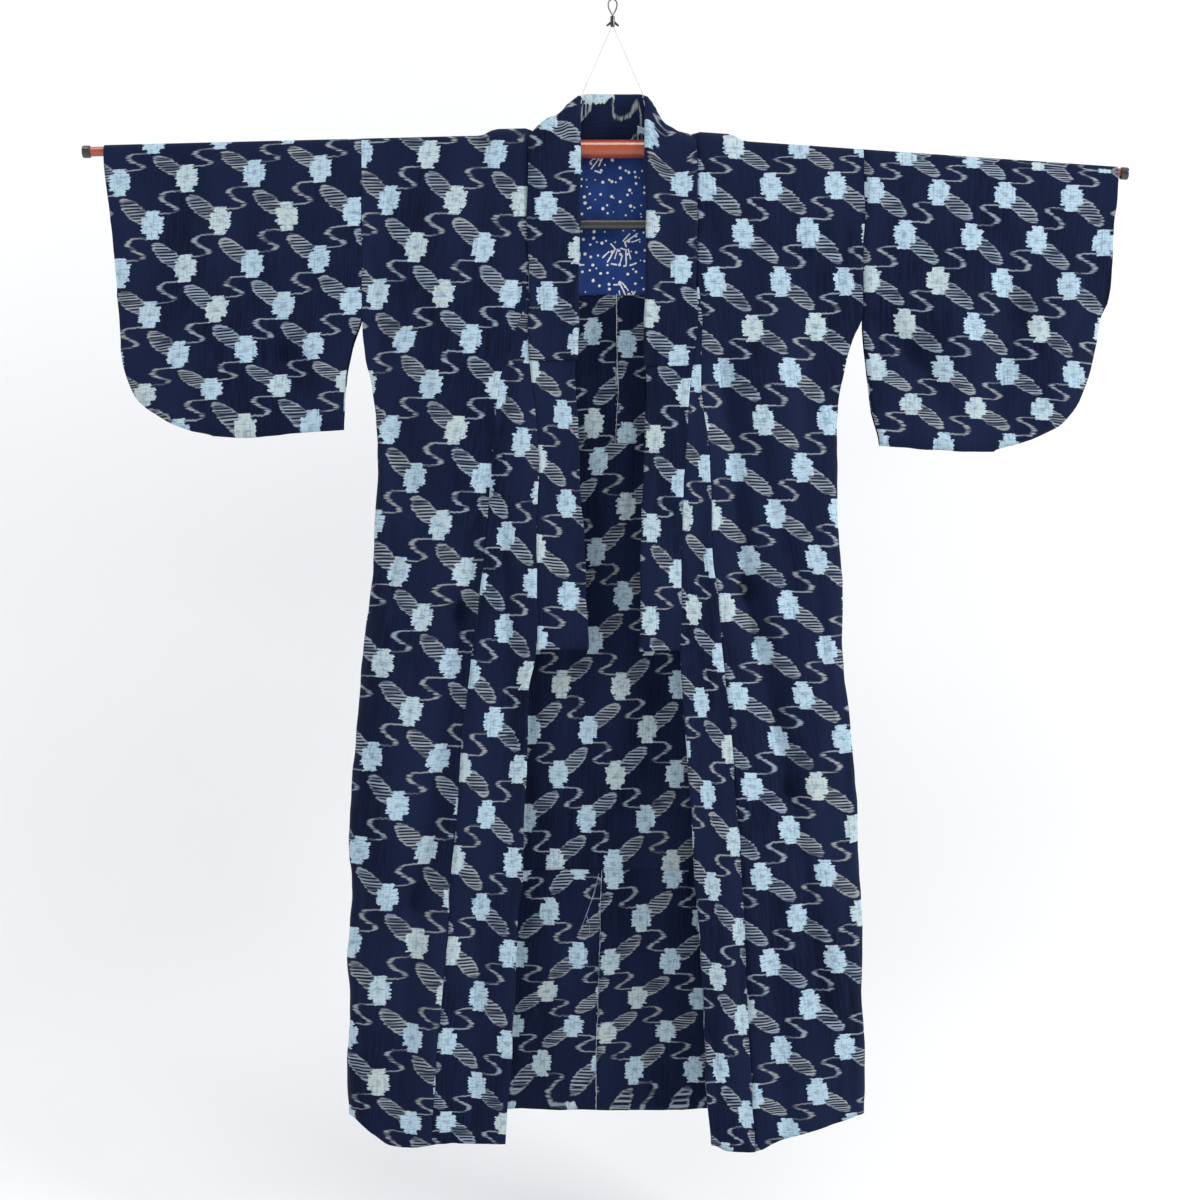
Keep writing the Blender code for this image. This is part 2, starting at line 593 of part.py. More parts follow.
def over_collar(mat, collection):
    """Second strip folded round the collar's free edge, from one breast round the neck to the other."""
    lift = COLLAR_CLOTH / 2 + SEAM_GAP + COVER_CLOTH / 2
    stops, rows = collar_rows()
    first = next(i for i, s in enumerate(stops) if s > -COVER_END[0])
    last = next(i for i, s in enumerate(stops) if s > COVER_END[1])

    def cut_row(i, stop):
        t = (stop - stops[i - 1]) / (stops[i] - stops[i - 1])
        return [a.lerp(b, t) for a, b in zip(rows[i - 1], rows[i])]

    base = [cut_row(first, -COVER_END[0])] + rows[first:last] + [cut_row(last, COVER_END[1])]
    places = [-COVER_END[0]] + stops[first:last] + [COVER_END[1]]
    lifts = []
    for s in places:
        on_roll = smooth((0.190 - abs(s)) / 0.04) * smooth((abs(s) - 0.005) / 0.02)
        lifts.append(lift + ROLL_EASE * on_roll)
    outer = shifted(base, [-value for value in lifts])
    inner = shifted(base, lifts)
    covered = []
    for middle, out, back in zip(base, outer, inner):
        away = (middle[-1] - middle[-2]).normalized()
        out[0] = out[0].lerp(out[1], 0.08)
        back[0] = back[0].lerp(back[1], 0.08)
        covered.append(out + [middle[-1] + away * EDGE_WRAP] + back[::-1])
    return cloth_wall("over_collar", covered, COVER_CLOTH, mat, collection, even=True)


def neck_patch(mat, collection):
    """Printed cotton patch sewn inside the back, below the collar."""
    offset = CLOTH / 2 + SEAM_GAP + COVER_CLOTH / 2
    rows = []
    for i in range(8):
        row = []
        for j in range(9):
            x = lerp(-PATCH_HALF, PATCH_HALF, j / 8)
            side = LEFT if x < 0 else RIGHT
            drop = lerp(PATCH_TOP, PATCH_LOW, i / 7)
            row.append(Vector((x, back_depth(side, abs(x), drop) - offset, -drop)))
        rows.append(row)
    return cloth_wall("neck_patch", rows, COVER_CLOTH, mat, collection)


def rod(name, start, end, radius, mat, collection, sides=20, bevel=0.0):
    """Round bar between two points, with its end edges softened by a bevel if one is given."""
    start, end = Vector(start), Vector(end)
    axis = end - start
    bm = bmesh.new()
    bmesh.ops.create_cone(bm, cap_ends=True, segments=sides, radius1=radius, radius2=radius,
                          depth=axis.length)
    if bevel:
        rims = [e for e in bm.edges if abs(e.verts[0].co.z - e.verts[1].co.z) < 1e-6]
        bmesh.ops.bevel(bm, geom=rims, offset=bevel, segments=2, profile=0.5, affect="EDGES")
    mesh = bpy.data.meshes.new(name)
    bm.to_mesh(mesh)
    bm.free()
    mesh.shade_smooth()
    mesh.set_sharp_from_angle(angle=math.radians(40))
    obj = place(name, mesh, mat, collection)
    turn = axis.to_track_quat("Z", "Y").to_matrix().to_4x4()
    obj.matrix_world = Matrix.Translation((start + end) / 2) @ turn
    return obj


def joint_block(side, mat, collection):
    """Moulded block that joins an arm to the middle tube."""
    bm = bmesh.new()
    bmesh.ops.create_cube(bm, size=1.0)
    bmesh.ops.scale(bm, vec=(JOINT_OUT - JOINT_IN, JOINT_HALF_DEPTH * 2, JOINT_HEIGHT), verts=bm.verts)
    edges = [e for e in bm.edges if abs(e.verts[0].co.x - e.verts[1].co.x) > 1e-6]
    bmesh.ops.bevel(bm, geom=edges, offset=0.0095, segments=5, profile=0.5, affect="EDGES")
    mesh = bpy.data.meshes.new(side.name + "_joint")
    bm.to_mesh(mesh)
    bm.free()
    mesh.shade_smooth()
    mesh.set_sharp_from_angle(angle=math.radians(40))
    obj = place(side.name + "_joint", mesh, mat, collection)
    reach = (JOINT_IN + JOINT_OUT) / 2
    top = -arm_drop(side, reach) + JOINT_HALF_DEPTH
    obj.location = (side.sign * reach, 0.0, top - JOINT_HEIGHT / 2)
    return obj, top


def arm(side, tube_mat, cap_mat, collection):
    """Slim arm tube inside the sleeve, with the cap on its end."""
    def place_on_axis(reach):
        return side.sign * reach, 0.0, ARM_RISE - arm_drop(side, reach)

    start = place_on_axis(JOINT_OUT + TOUCH + ARM_RADIUS * side.axis_slope)
    cap_reach = side.arm_end - CAP_LENGTH
    rod(side.name + "_arm", start, place_on_axis(cap_reach), ARM_RADIUS, tube_mat, collection)
    cap_start = place_on_axis(cap_reach + TOUCH)
    cap_end = place_on_axis(side.arm_end)
    rod(side.name + "_cap", cap_start, cap_end, CAP_RADIUS, cap_mat, collection, bevel=0.0018)


def hanging_string(side, mat, collection):
    """String from the hook, past the corner of the collar, down to the top of the middle tube."""
    line = bpy.data.curves.new(side.name + "_string", "CURVE")
    line.dimensions = "3D"
    line.bevel_depth = STRING_RADIUS
    line.bevel_resolution = 2
    line.use_fill_caps = True
    stops = [Stop(HOOK_LOW + TOUCH + STRING_RADIUS, 0.0016, 0.0)] + STRING_ROUTE
    stops.append(Stop(TUBE_DROP - TUBE_RADIUS - TOUCH, side.string_reach, 0.0))
    spline = line.splines.new("POLY")
    spline.points.add(len(stops) - 1)
    for point, stop in zip(spline.points, stops):
        point.co = (side.sign * stop.reach, -stop.forward, -stop.drop, 1.0)
    line.materials.append(mat)
    obj = bpy.data.objects.new(side.name + "_string", line)
    collection.objects.link(obj)
    return obj


def join_forms(obj, meshes, tools):
    """Fuse extra closed forms into an object with Boolean unions."""
    for mesh in meshes:
        form = bpy.data.objects.new(mesh.name, mesh)
        tools.objects.link(form)
        form.hide_render = True
        form.display_type = "WIRE"
        union = obj.modifiers.new("Join", "BOOLEAN")
        union.operation = "UNION"
        union.object = form


def hook_anchor(mat, collection, tools):
    """Small moulded hook: a shank with two wings turned down, over which the string passes."""
    shank = rod("hook_anchor", (0, 0, -0.0206), (0, 0, -HOOK_LOW), 0.0030, mat, collection, sides=16,
                bevel=0.0008)
    wings = []
    for sign in (-1, 1):
        bm = bmesh.new()
        bmesh.ops.create_cone(bm, cap_ends=True, segments=10, radius1=0.0018, radius2=0.0013, depth=0.009)
        turn = Vector((sign * 0.75, 0, -0.62)).to_track_quat("Z", "Y").to_matrix().to_4x4()
        centre = Matrix.Translation((sign * 0.0042, 0, -0.0305))
        bmesh.ops.transform(bm, matrix=centre @ turn, verts=bm.verts)
        mesh = bpy.data.meshes.new("hook_wing_form")
        bm.to_mesh(mesh)
        bm.free()
        wings.append(mesh)
    join_forms(shank, wings, tools)


def wire_loop(mat, collection):
    """Drop-shaped wire loop; its inner top is the origin."""
    wire = 0.0010
    low = 0.0213
    rows = []
    count = 28
    for i in range(count):
        turn = 2 * math.pi * i / count
        height = (math.cos(turn) + 1) / 2
        width = 0.0072 * math.sin(turn) * height ** 0.45
        rows.append(Vector((width, 0.0, wire - (1 - height) * (low - wire))))
    bm = bmesh.new()
    rings = []
    for i in range(count):
        ahead = (rows[(i + 1) % count] - rows[i - 1]).normalized()
        out = ahead.cross(Vector((0, 1, 0)))
        ring = []
        for k in range(WIRE_SIDES):
            angle = 2 * math.pi * k / WIRE_SIDES
            ring.append(bm.verts.new(rows[i] + wire * (math.cos(angle) * out
                                                      + math.sin(angle) * Vector((0, 1, 0)))))
        rings.append(ring)
    for i in range(count):
        here, there = rings[i], rings[(i + 1) % count]
        for k in range(WIRE_SIDES):
            after = (k + 1) % WIRE_SIDES
            bm.faces.new((here[k], there[k], there[after], here[after]))
    bmesh.ops.recalc_face_normals(bm, faces=bm.faces)
    mesh = bpy.data.meshes.new("wire_loop")
    bm.to_mesh(mesh)
    bm.free()
    mesh.shade_smooth()
    place("wire_loop", mesh, mat, collection)


def belt_bar(mat, collection, block_lows):
    """Second bar, hung from the joint blocks by two links."""
    rod("belt_bar", (-BAR_HALF, 0, -BAR_DROP), (BAR_HALF, 0, -BAR_DROP), BAR_RADIUS, mat, collection,
        bevel=0.002)
    for side, low in zip((LEFT, RIGHT), block_lows):
        x = side.sign * LINK_REACH
        rod(side.name + "_link", (x, 0, low - TOUCH), (x, 0, -BAR_DROP + BAR_RADIUS + TOUCH), LINK_RADIUS,
            mat, collection, sides=12)


COLLAR_LOW = -collar_point(LEFT, COLLAR_END, 0.0).z


def main():
    for obj in list(bpy.data.objects):
        bpy.data.objects.remove(obj, do_unlink=True)
    parts = new_collection("cotton_kimono")
    tools = new_collection("forms_to_join")
    indigo = material("indigo_cotton", (0.010, 0.017, 0.052), 0.9)
    print_blue = material("blue_print_cotton", (0.030, 0.070, 0.260), 0.9)
    red_brown = material("red_brown_lacquer", (0.330, 0.062, 0.022), 0.25)
    black = material("black_plastic", (0.012, 0.012, 0.013), 0.35)
    steel = material("grey_wire", (0.420, 0.420, 0.420), 0.35, 1.0)
    twine = material("pale_string", (0.740, 0.710, 0.640), 0.8)
    for side in (LEFT, RIGHT):
        seam = body_panel(side, indigo, parts)
        gore(side, seam, indigo, parts)
        sleeve_panel(side, indigo, parts)
    collar(indigo, parts)
    over_collar(indigo, parts)
    neck_patch(print_blue, parts)
    rod("centre_tube", (-TUBE_HALF, 0, -TUBE_DROP), (TUBE_HALF, 0, -TUBE_DROP), TUBE_RADIUS, red_brown,
        parts, sides=24)
    lows = []
    for side in (LEFT, RIGHT):
        _, top = joint_block(side, black, parts)
        lows.append(top - JOINT_HEIGHT)
        arm(side, red_brown, black, parts)
        hanging_string(side, twine, parts)
    belt_bar(black, parts, lows)
    hook_anchor(black, parts, tools)
    wire_loop(steel, parts)


main()
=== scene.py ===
"""Looks of the cotton kimono on its hanger: woven kasuri cloth, printed patch, lacquered tube and twine.

Metres, +Z up, -Y towards the viewer, the origin at the inner top of the hook's wire loop. Heights are given
as a drop below that point, and widths as a reach from the middle plane x = 0.
"""
import math
import random
from collections import namedtuple

import bmesh
import bpy
from mathutils import Matrix, Vector, noise


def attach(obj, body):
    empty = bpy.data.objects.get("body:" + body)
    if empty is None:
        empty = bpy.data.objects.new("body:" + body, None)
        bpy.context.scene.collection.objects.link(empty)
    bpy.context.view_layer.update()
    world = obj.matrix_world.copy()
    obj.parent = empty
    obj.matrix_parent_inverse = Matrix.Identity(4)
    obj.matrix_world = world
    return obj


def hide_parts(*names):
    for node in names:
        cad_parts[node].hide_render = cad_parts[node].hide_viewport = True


# Cloth: one layer of the body, the doubled collar, the thin cover and the patch
CLOTH = 0.0013
COLLAR_CLOTH = 0.0014
COVER_CLOTH = 0.0010
SEAM_GAP = 0.0003
NECK_SEAM_GAP = 0.0004
GORE_SEAM_GAP = 0.0001

# Neck, collar strip and the shoulder roll over the hanger
NECK_HALF = 0.1077
COLLAR_WIDTH = 0.064
NECK_DROP = 0.186
NECK_LIFT = 0.0215
LIFT_START = 0.035
ROLL_NECK = 0.0162
ROLL_COLLAR_TOP = 0.0090
ROLL_ARM = 0.0085
ROLL_CHANGE = (0.150, 0.170)
COLLAR_END = 0.778
BACK_LINE = 0.0755
BAND_CLEAR = 0.130
ARMHOLE = 0.3218
BACK_HEM = 1.430
COVER_END = (0.408, 0.416)
EDGE_WRAP = 0.0026
ROLL_EASE = 0.0015

# Patch inside the back of the neck
PATCH_HALF = 0.104
PATCH_TOP = 0.192
PATCH_LOW = 0.3775

# Hanger
TUBE_RADIUS = 0.0118
TUBE_DROP = 0.1915
TUBE_HALF = 0.1147
JOINT_IN = 0.1150
JOINT_OUT = 0.1370
JOINT_HALF_DEPTH = 0.0112
JOINT_HEIGHT = 0.035
ARM_RADIUS = 0.0063
ARM_RISE = 0.0010
CAP_RADIUS = 0.0080
CAP_LENGTH = 0.011
BAR_DROP = 0.2885
BAR_RADIUS = 0.0070
BAR_HALF = 0.180
LINK_REACH = 0.1240
LINK_RADIUS = 0.0022
STRING_RADIUS = 0.0008
HOOK_LOW = 0.0345
WIRE_SIDES = 6
TOUCH = 0.0003

Line = namedtuple("Line", "drop reach")
Stop = namedtuple("Stop", "drop reach forward")
Hem = namedtuple("Hem", "reach drop")
Depth = namedtuple("Depth", "drop edge middle side")
Fold = namedtuple("Fold", "reach_top drop_top reach_low drop_low width depth")
Cuff = namedtuple("Cuff", "fraction reach")
Sleeve = namedtuple("Sleeve", "outer opening inner bottom folds")
Side = namedtuple(
    "Side",
    "name sign axis_reach axis_drop axis_slope arm_end string_reach "
    "side_line gore_line edge_line band_line main_fold hem depths folds turn sleeve")

# Depth of a fold is towards the wall when positive, towards the viewer when negative
LEFT = Side(
    name="left", sign=-1, axis_reach=0.172, axis_drop=0.1834, axis_slope=0.0252, arm_end=0.681,
    string_reach=0.0460,
    side_line=[Line(0.406, 0.3218), Line(0.463, 0.3158), Line(0.501, 0.3085), Line(0.540, 0.3045),
               Line(0.578, 0.3018), Line(0.617, 0.3020), Line(0.655, 0.3042), Line(0.732, 0.3085),
               Line(0.810, 0.3172), Line(0.887, 0.3238), Line(0.964, 0.3315), Line(1.041, 0.3365),
               Line(1.080, 0.3380), Line(1.120, 0.3342), Line(1.234, 0.3400), Line(1.272, 0.3368),
               Line(1.388, 0.3405), Line(1.430, 0.3378)],
    gore_line=[Line(0.355, 0.1082), Line(0.386, 0.1095), Line(0.437, 0.1248), Line(0.489, 0.1425),
               Line(0.567, 0.1512), Line(0.689, 0.1600), Line(0.773, 0.1713), Line(0.856, 0.1800),
               Line(0.957, 0.1912), Line(1.055, 0.1986), Line(1.411, 0.2240), Line(1.465, 0.2275)],
    edge_line=[Line(0.197, 0.1077), Line(0.412, 0.1068), Line(0.575, 0.0964), Line(0.773, 0.0949),
               Line(0.838, 0.0975), Line(0.898, 0.1065), Line(1.000, 0.1088), Line(1.084, 0.1125),
               Line(1.203, 0.1213), Line(1.292, 0.1262), Line(1.396, 0.1311), Line(1.460, 0.1362)],
    band_line=[Line(0.197, 0.0437), Line(0.300, 0.0443), Line(0.465, 0.0475), Line(0.600, 0.0420),
               Line(0.838, 0.0314)],
    main_fold=[Line(0.210, 0.1250), Line(0.308, 0.1270), Line(0.424, 0.1420), Line(0.514, 0.1560),
               Line(0.591, 0.1650), Line(0.681, 0.1768), Line(0.790, 0.1948), Line(0.914, 0.2179),
               Line(1.028, 0.2320), Line(1.157, 0.2475), Line(1.300, 0.2600), Line(1.460, 0.2700)],
    hem=[Hem(0.1362, 1.460), Hem(0.2220, 1.458), Hem(0.2530, 1.462), Hem(0.2800, 1.463),
         Hem(0.3050, 1.452), Hem(0.3360, 1.430)],
    depths=[Depth(0.300, 0.0145, 0.0125, 0.0085), Depth(0.400, 0.0160, 0.0160, 0.0085),
            Depth(0.550, 0.0200, 0.0220, 0.0120), Depth(0.750, 0.0250, 0.0280, 0.0160),
            Depth(1.000, 0.0300, 0.0330, 0.0200), Depth(1.250, 0.0360, 0.0390, 0.0220),
            Depth(1.460, 0.0420, 0.0450, 0.0240)],
    folds=[Fold(0.160, 0.560, 0.195, 0.790, 0.016, 0.008), Fold(0.195, 0.790, 0.247, 1.157, 0.018, 0.011),
           Fold(0.247, 1.157, 0.266, 1.400, 0.020, 0.008), Fold(0.300, 0.430, 0.262, 0.640, 0.024, 0.006),
           Fold(0.144, 0.660, 0.128, 0.950, 0.014, 0.005), Fold(0.172, 1.150, 0.180, 1.440, 0.016, 0.006),
           Fold(0.285, 0.800, 0.296, 1.150, 0.020, -0.005)],
    turn=0.004,
    sleeve=Sleeve(
        outer=[Cuff(0.0, 0.6520), Cuff(0.25, 0.6435), Cuff(0.51, 0.6350), Cuff(0.72, 0.6307),
               Cuff(0.863, 0.6140), Cuff(0.95, 0.5750), Cuff(0.985, 0.5450), Cuff(1.0, 0.5150)],
        opening=0.51,
        inner=[Line(0.180, 0.3222), Line(0.398, 0.3222), Line(0.450, 0.3350), Line(0.509, 0.3455),
               Line(0.530, 0.3465), Line(0.560, 0.3450)],
        bottom=[Hem(0.322, 0.552), Hem(0.389, 0.555), Hem(0.472, 0.563), Hem(0.530, 0.559),
                Hem(0.652, 0.556)],
        folds=[Fold(0.447, 0.360, 0.427, 0.456, 0.020, 0.006), Fold(0.427, 0.456, 0.395, 0.500, 0.020, 0.006),
               Fold(0.363, 0.260, 0.363, 0.340, 0.024, -0.003),
               Fold(0.550, 0.330, 0.545, 0.470, 0.030, -0.003)]))

RIGHT = Side(
    name="right", sign=1, axis_reach=0.162, axis_drop=0.1900, axis_slope=0.0685, arm_end=0.6625,
    string_reach=0.0450,
    side_line=[Line(0.406, 0.3218), Line(0.437, 0.3085), Line(0.463, 0.3000), Line(0.501, 0.2905),
               Line(0.540, 0.2872), Line(0.578, 0.2870), Line(0.617, 0.2890), Line(0.694, 0.2910),
               Line(0.771, 0.2955), Line(0.848, 0.2968), Line(0.887, 0.2988), Line(0.925, 0.3036),
               Line(1.002, 0.3100), Line(1.080, 0.3150), Line(1.195, 0.3204), Line(1.272, 0.3182),
               Line(1.349, 0.3242), Line(1.430, 0.3235)],
    gore_line=[Line(0.355, 0.1082), Line(0.407, 0.1105), Line(0.490, 0.1120), Line(0.593, 0.1212),
               Line(0.724, 0.1270), Line(0.841, 0.1384), Line(0.957, 0.1505), Line(1.098, 0.1601),
               Line(1.408, 0.1746), Line(1.465, 0.1775)],
    edge_line=[Line(0.197, 0.1077), Line(0.412, 0.1066), Line(0.481, 0.1011), Line(0.525, 0.0965),
               Line(0.644, 0.0894), Line(0.834, 0.0865), Line(0.898, 0.0895), Line(1.024, 0.0984),
               Line(1.141, 0.1056), Line(1.289, 0.1143), Line(1.377, 0.1181), Line(1.452, 0.1230)],
    band_line=[Line(0.197, 0.0437), Line(0.300, 0.0450), Line(0.466, 0.0424), Line(0.838, 0.0345)],
    main_fold=[Line(0.210, 0.1250), Line(0.339, 0.1300), Line(0.496, 0.1410), Line(0.640, 0.1560),
               Line(0.758, 0.1700), Line(0.890, 0.1990), Line(1.015, 0.2250), Line(1.110, 0.2420),
               Line(1.250, 0.2600), Line(1.460, 0.2720)],
    hem=[Hem(0.1230, 1.456), Hem(0.1410, 1.464), Hem(0.1800, 1.466), Hem(0.2080, 1.455),
         Hem(0.2470, 1.445), Hem(0.2930, 1.436), Hem(0.3215, 1.430)],
    depths=[Depth(0.300, 0.0145, 0.0125, 0.0085), Depth(0.400, 0.0170, 0.0160, 0.0085),
            Depth(0.550, 0.0250, 0.0220, 0.0120), Depth(0.750, 0.0360, 0.0290, 0.0160),
            Depth(1.000, 0.0500, 0.0350, 0.0180), Depth(1.250, 0.0580, 0.0390, 0.0180),
            Depth(1.460, 0.0620, 0.0430, 0.0180)],
    folds=[Fold(0.119, 0.261, 0.130, 0.339, 0.012, 0.003), Fold(0.141, 0.480, 0.170, 0.758, 0.016, 0.009),
           Fold(0.170, 0.758, 0.225, 1.015, 0.018, 0.011), Fold(0.225, 1.015, 0.264, 1.290, 0.018, 0.009),
           Fold(0.183, 0.578, 0.228, 0.758, 0.016, 0.006), Fold(0.205, 1.157, 0.218, 1.430, 0.016, 0.007),
           Fold(0.140, 1.060, 0.143, 1.300, 0.014, -0.005), Fold(0.187, 1.060, 0.190, 1.300, 0.014, -0.004)],
    turn=0.026,
    sleeve=Sleeve(
        outer=[Cuff(0.0, 0.6480), Cuff(0.22, 0.6420), Cuff(0.464, 0.6365), Cuff(0.505, 0.6290),
               Cuff(0.62, 0.6220), Cuff(0.80, 0.6020), Cuff(0.888, 0.5790), Cuff(0.955, 0.5390),
               Cuff(1.0, 0.4900)],
        opening=0.485,
        inner=[Line(0.180, 0.3222), Line(0.418, 0.3222), Line(0.473, 0.3262), Line(0.527, 0.3312),
               Line(0.574, 0.3410)],
        bottom=[Hem(0.322, 0.573), Hem(0.421, 0.578), Hem(0.479, 0.581), Hem(0.648, 0.583)],
        folds=[Fold(0.346, 0.418, 0.382, 0.456, 0.018, 0.006), Fold(0.382, 0.456, 0.434, 0.536, 0.018, 0.007),
               Fold(0.498, 0.308, 0.513, 0.407, 0.020, 0.006), Fold(0.513, 0.407, 0.491, 0.529, 0.020, 0.006),
               Fold(0.417, 0.400, 0.443, 0.450, 0.018, -0.004)]))

STRING_ROUTE = [Stop(0.1205, 0.0386, 0.0025), Stop(0.1290, 0.0398, 0.0025), Stop(0.1500, 0.0452, 0.0010)]
BACK_SEAM = [Line(0.180, 0.0060), Line(0.382, 0.0065), Line(0.560, 0.0042), Line(1.149, -0.0146), Line(1.430, -0.0218)]
BACK_FOLDS = [Fold(0.060, 0.560, 0.045, 1.100, 0.026, 0.003), Fold(0.190, 0.450, 0.170, 1.300, 0.030, -0.002),
              Fold(0.240, 0.500, 0.250, 1.350, 0.026, 0.003)]

# Rows of the panels, as fractions from the shoulder roll to the hem
BODY_ROWS = 150
GORE_FIRST = 20
ROLL_STEPS = 14
EDGE_FRACTIONS = [i / 8 for i in range(9)]
SIDE_FRACTIONS = [math.sin(math.pi / 2 * i / 34) for i in range(1, 35)]
SIDE_ROUND = 0.020
SLIT_END = 0.530
FRONT_STOPS = 130
BACK_SHARES = [i / 12 for i in range(13)]
ROLL_IN = NECK_HALF + math.sqrt(2) * ROLL_NECK * math.pi / 2

NECK_COLUMNS = 4
COLLAR_BACK = 14
COLLAR_COLUMNS = 14
GORE_COLUMNS = 16
PATCH_ROWS = 36
LINING_ROWS = 110
LINING_COLUMNS = 60
TUCKED = 0.0012

# Blocks of a cross (half width, half height), then the leaf and the curl beside it, in metres on the cloth
CROSS_BLOCKS = ((0.0134, 0.0106), (0.0078, 0.0180))
PICK_SLIP = 0.0056
SWAY_SLIP = 0.0014
WARP_SLIP = 0.0014
LEAF_PLACE = (0.0200, 0.0396)
LEAF_HALF = (0.0250, 0.0102)
LEAF_TURN = math.radians(40)
CURL = ((0.0, 0.40), (0.22, 0.22), (0.41, 0.31), (0.61, 0.53), (0.76, 0.75), (0.88, 0.79), (1.0, 0.57))
CURL_TOP = 0.0167
CURL_LOW = 0.0430
CURL_START = -0.040
CURL_SPAN = 0.035
WINDOW_TOP = 0.030

# Printed patch: spacing of its dots and sprigs, and the needles of a sprig
DOT_PITCH = 0.0115
SPRIG_PITCH = 0.040
NEEDLES = (
    (0.000, 0.00, 0.0105, 0.0009, 0.000), (0.004, 0.20, 0.0070, 0.0008, 0.0052),
    (-0.004, -0.28, 0.0062, 0.0008, -0.0056), (0.007, 1.25, 0.0052, 0.0009, 0.0098),
    (-0.006, 1.90, 0.0046, 0.0010, -0.0105))

GROUND_DARK = (0.0026, 0.0050, 0.0185)
GROUND_LIGHT = (0.0050, 0.0093, 0.0340)
GROUND_WORN = (0.0066, 0.0120, 0.0400)
PALE_BLUE = (0.39, 0.525, 0.60)
PALE_YELLOW = (0.46, 0.52, 0.48)
PALE_SHADE = (0.17, 0.27, 0.40)
LEAF_GREY = (0.28, 0.35, 0.42)
LEAF_WARM = (0.32, 0.35, 0.36)
PRINT_DARK = (0.013, 0.034, 0.140)
PRINT_LIGHT = (0.021, 0.055, 0.215)
PRINT_WHITE = (0.80, 0.82, 0.82)

# How far the collar's crest sinks below an even slope, from its top corner to its sewn edge
Crest = namedtuple("Crest", "share sink")
CRESTS = {
    "left": [Crest(0.0, 0.0), Crest(0.20, 0.001), Crest(0.33, 0.006), Crest(0.45, 0.007), Crest(0.58, 0.0035),
             Crest(0.70, 0.002), Crest(1.0, 0.0015)],
    "right": [Crest(0.0, 0.0), Crest(0.13, 0.006), Crest(0.26, 0.017), Crest(0.38, 0.021), Crest(0.51, 0.0200),
              Crest(0.64, 0.0190), Crest(0.76, 0.0150), Crest(0.89, 0.0105), Crest(1.0, 0.006)]}
CREST_REACH = 0.110
CREST_BACK = 0.048


def smooth(value):
    """Smooth step of a value clamped between 0 and 1."""
    t = min(1.0, max(0.0, value))
    return t * t * (3.0 - 2.0 * t)


def lerp(a, b, t):
    return a + (b - a) * t


def curve(rows, key, at):
    """Smooth curve through the rows of a table, read at one value of its first column."""
    places = [row[0] for row in rows]
    values = [getattr(row, key) for row in rows]
    if at <= places[0]:
        return values[0]
    if at >= places[-1]:
        return values[-1]
    i = max(k for k in range(len(places) - 1) if places[k] <= at)

    def slope(k):
        if k == 0 or k == len(places) - 1:
            return 0.0
        before = (values[k] - values[k - 1]) / (places[k] - places[k - 1])
        after = (values[k + 1] - values[k]) / (places[k + 1] - places[k])
        return 0.0 if before * after <= 0 else 2 * before * after / (before + after)

    span = places[i + 1] - places[i]
    t = (at - places[i]) / span
    h00 = (1 + 2 * t) * (1 - t) ** 2
    h10 = t * (1 - t) ** 2
    h01 = t * t * (3 - 2 * t)
    h11 = t * t * (t - 1)
    return (h00 * values[i] + h10 * span * slope(i) + h01 * values[i + 1] + h11 * span * slope(i + 1))


def fold_offset(folds, reach, drop):
    """Sum of the folds' offsets at a place: each is a soft trough or ridge along a short line."""
    total = 0.0
    for fold in folds:
        dx = fold.reach_low - fold.reach_top
        dz = fold.drop_low - fold.drop_top
        length = math.hypot(dx, dz)
        along = ((reach - fold.reach_top) * dx + (drop - fold.drop_top) * dz) / length ** 2
        inside = min(1.0, max(0.0, along))
        away = math.hypot(reach - fold.reach_top - inside * dx, drop - fold.drop_top - inside * dz)
        total += fold.depth * math.exp(-(away / fold.width) ** 2)
    return total


def roll_radius(reach):
    """Half depth of the shoulder roll: wide over the joint block, narrow over the arm tube."""
    change = smooth((reach - ROLL_CHANGE[0]) / (ROLL_CHANGE[1] - ROLL_CHANGE[0]))
    return lerp(ROLL_NECK, ROLL_ARM, change)


def arm_drop(side, reach):
    return side.axis_drop + side.axis_slope * (reach - side.axis_reach)


def front_depth(side, reach, drop):
    """How far the front cloth stands towards the viewer from the plane of the hanger."""
    edge = curve(side.edge_line, "reach", drop)
    outer = curve(side.side_line, "reach", drop)
    across = min(1.0, max(0.0, (reach - edge) / (outer - edge)))
    at_edge = curve(side.depths, "edge", drop)
    at_middle = curve(side.depths, "middle", drop)
    at_side = curve(side.depths, "side", drop)
    if across < 0.5:
        hang = lerp(at_edge, at_middle, smooth(across * 2))
    else:
        hang = lerp(at_middle, at_side, smooth(across * 2 - 1))
    start = smooth((drop - arm_drop(side, reach)) / 0.10)
    folded = fold_offset(side.folds + CREASES[side.name], reach, drop)
    folded = FOLD_DEPTH * folded + wrinkle(side.sign * reach, drop, 1.0)
    return lerp(roll_radius(reach), hang, start) - start * folded


def back_depth(side, reach, drop):
    """How far the back cloth lies towards the wall from the plane of the hanger."""
    start = smooth((drop - arm_drop(side, reach)) / 0.10)
    patch_zone = smooth((0.17 - reach) / 0.05) * smooth((0.52 - drop) / 0.10)
    hang = lerp(lerp(0.0090, 0.0150, smooth((drop - 0.30) / 0.9)), ROLL_NECK, patch_zone)
    folded = fold_offset(BACK_FOLDS + BACK_CREASES, reach, drop) + wrinkle(side.sign * reach, drop, 5.0)
    return lerp(roll_radius(reach), hang, start) + start * folded


def collar_roll(across):
    return lerp(ROLL_NECK, ROLL_COLLAR_TOP, across / COLLAR_WIDTH)


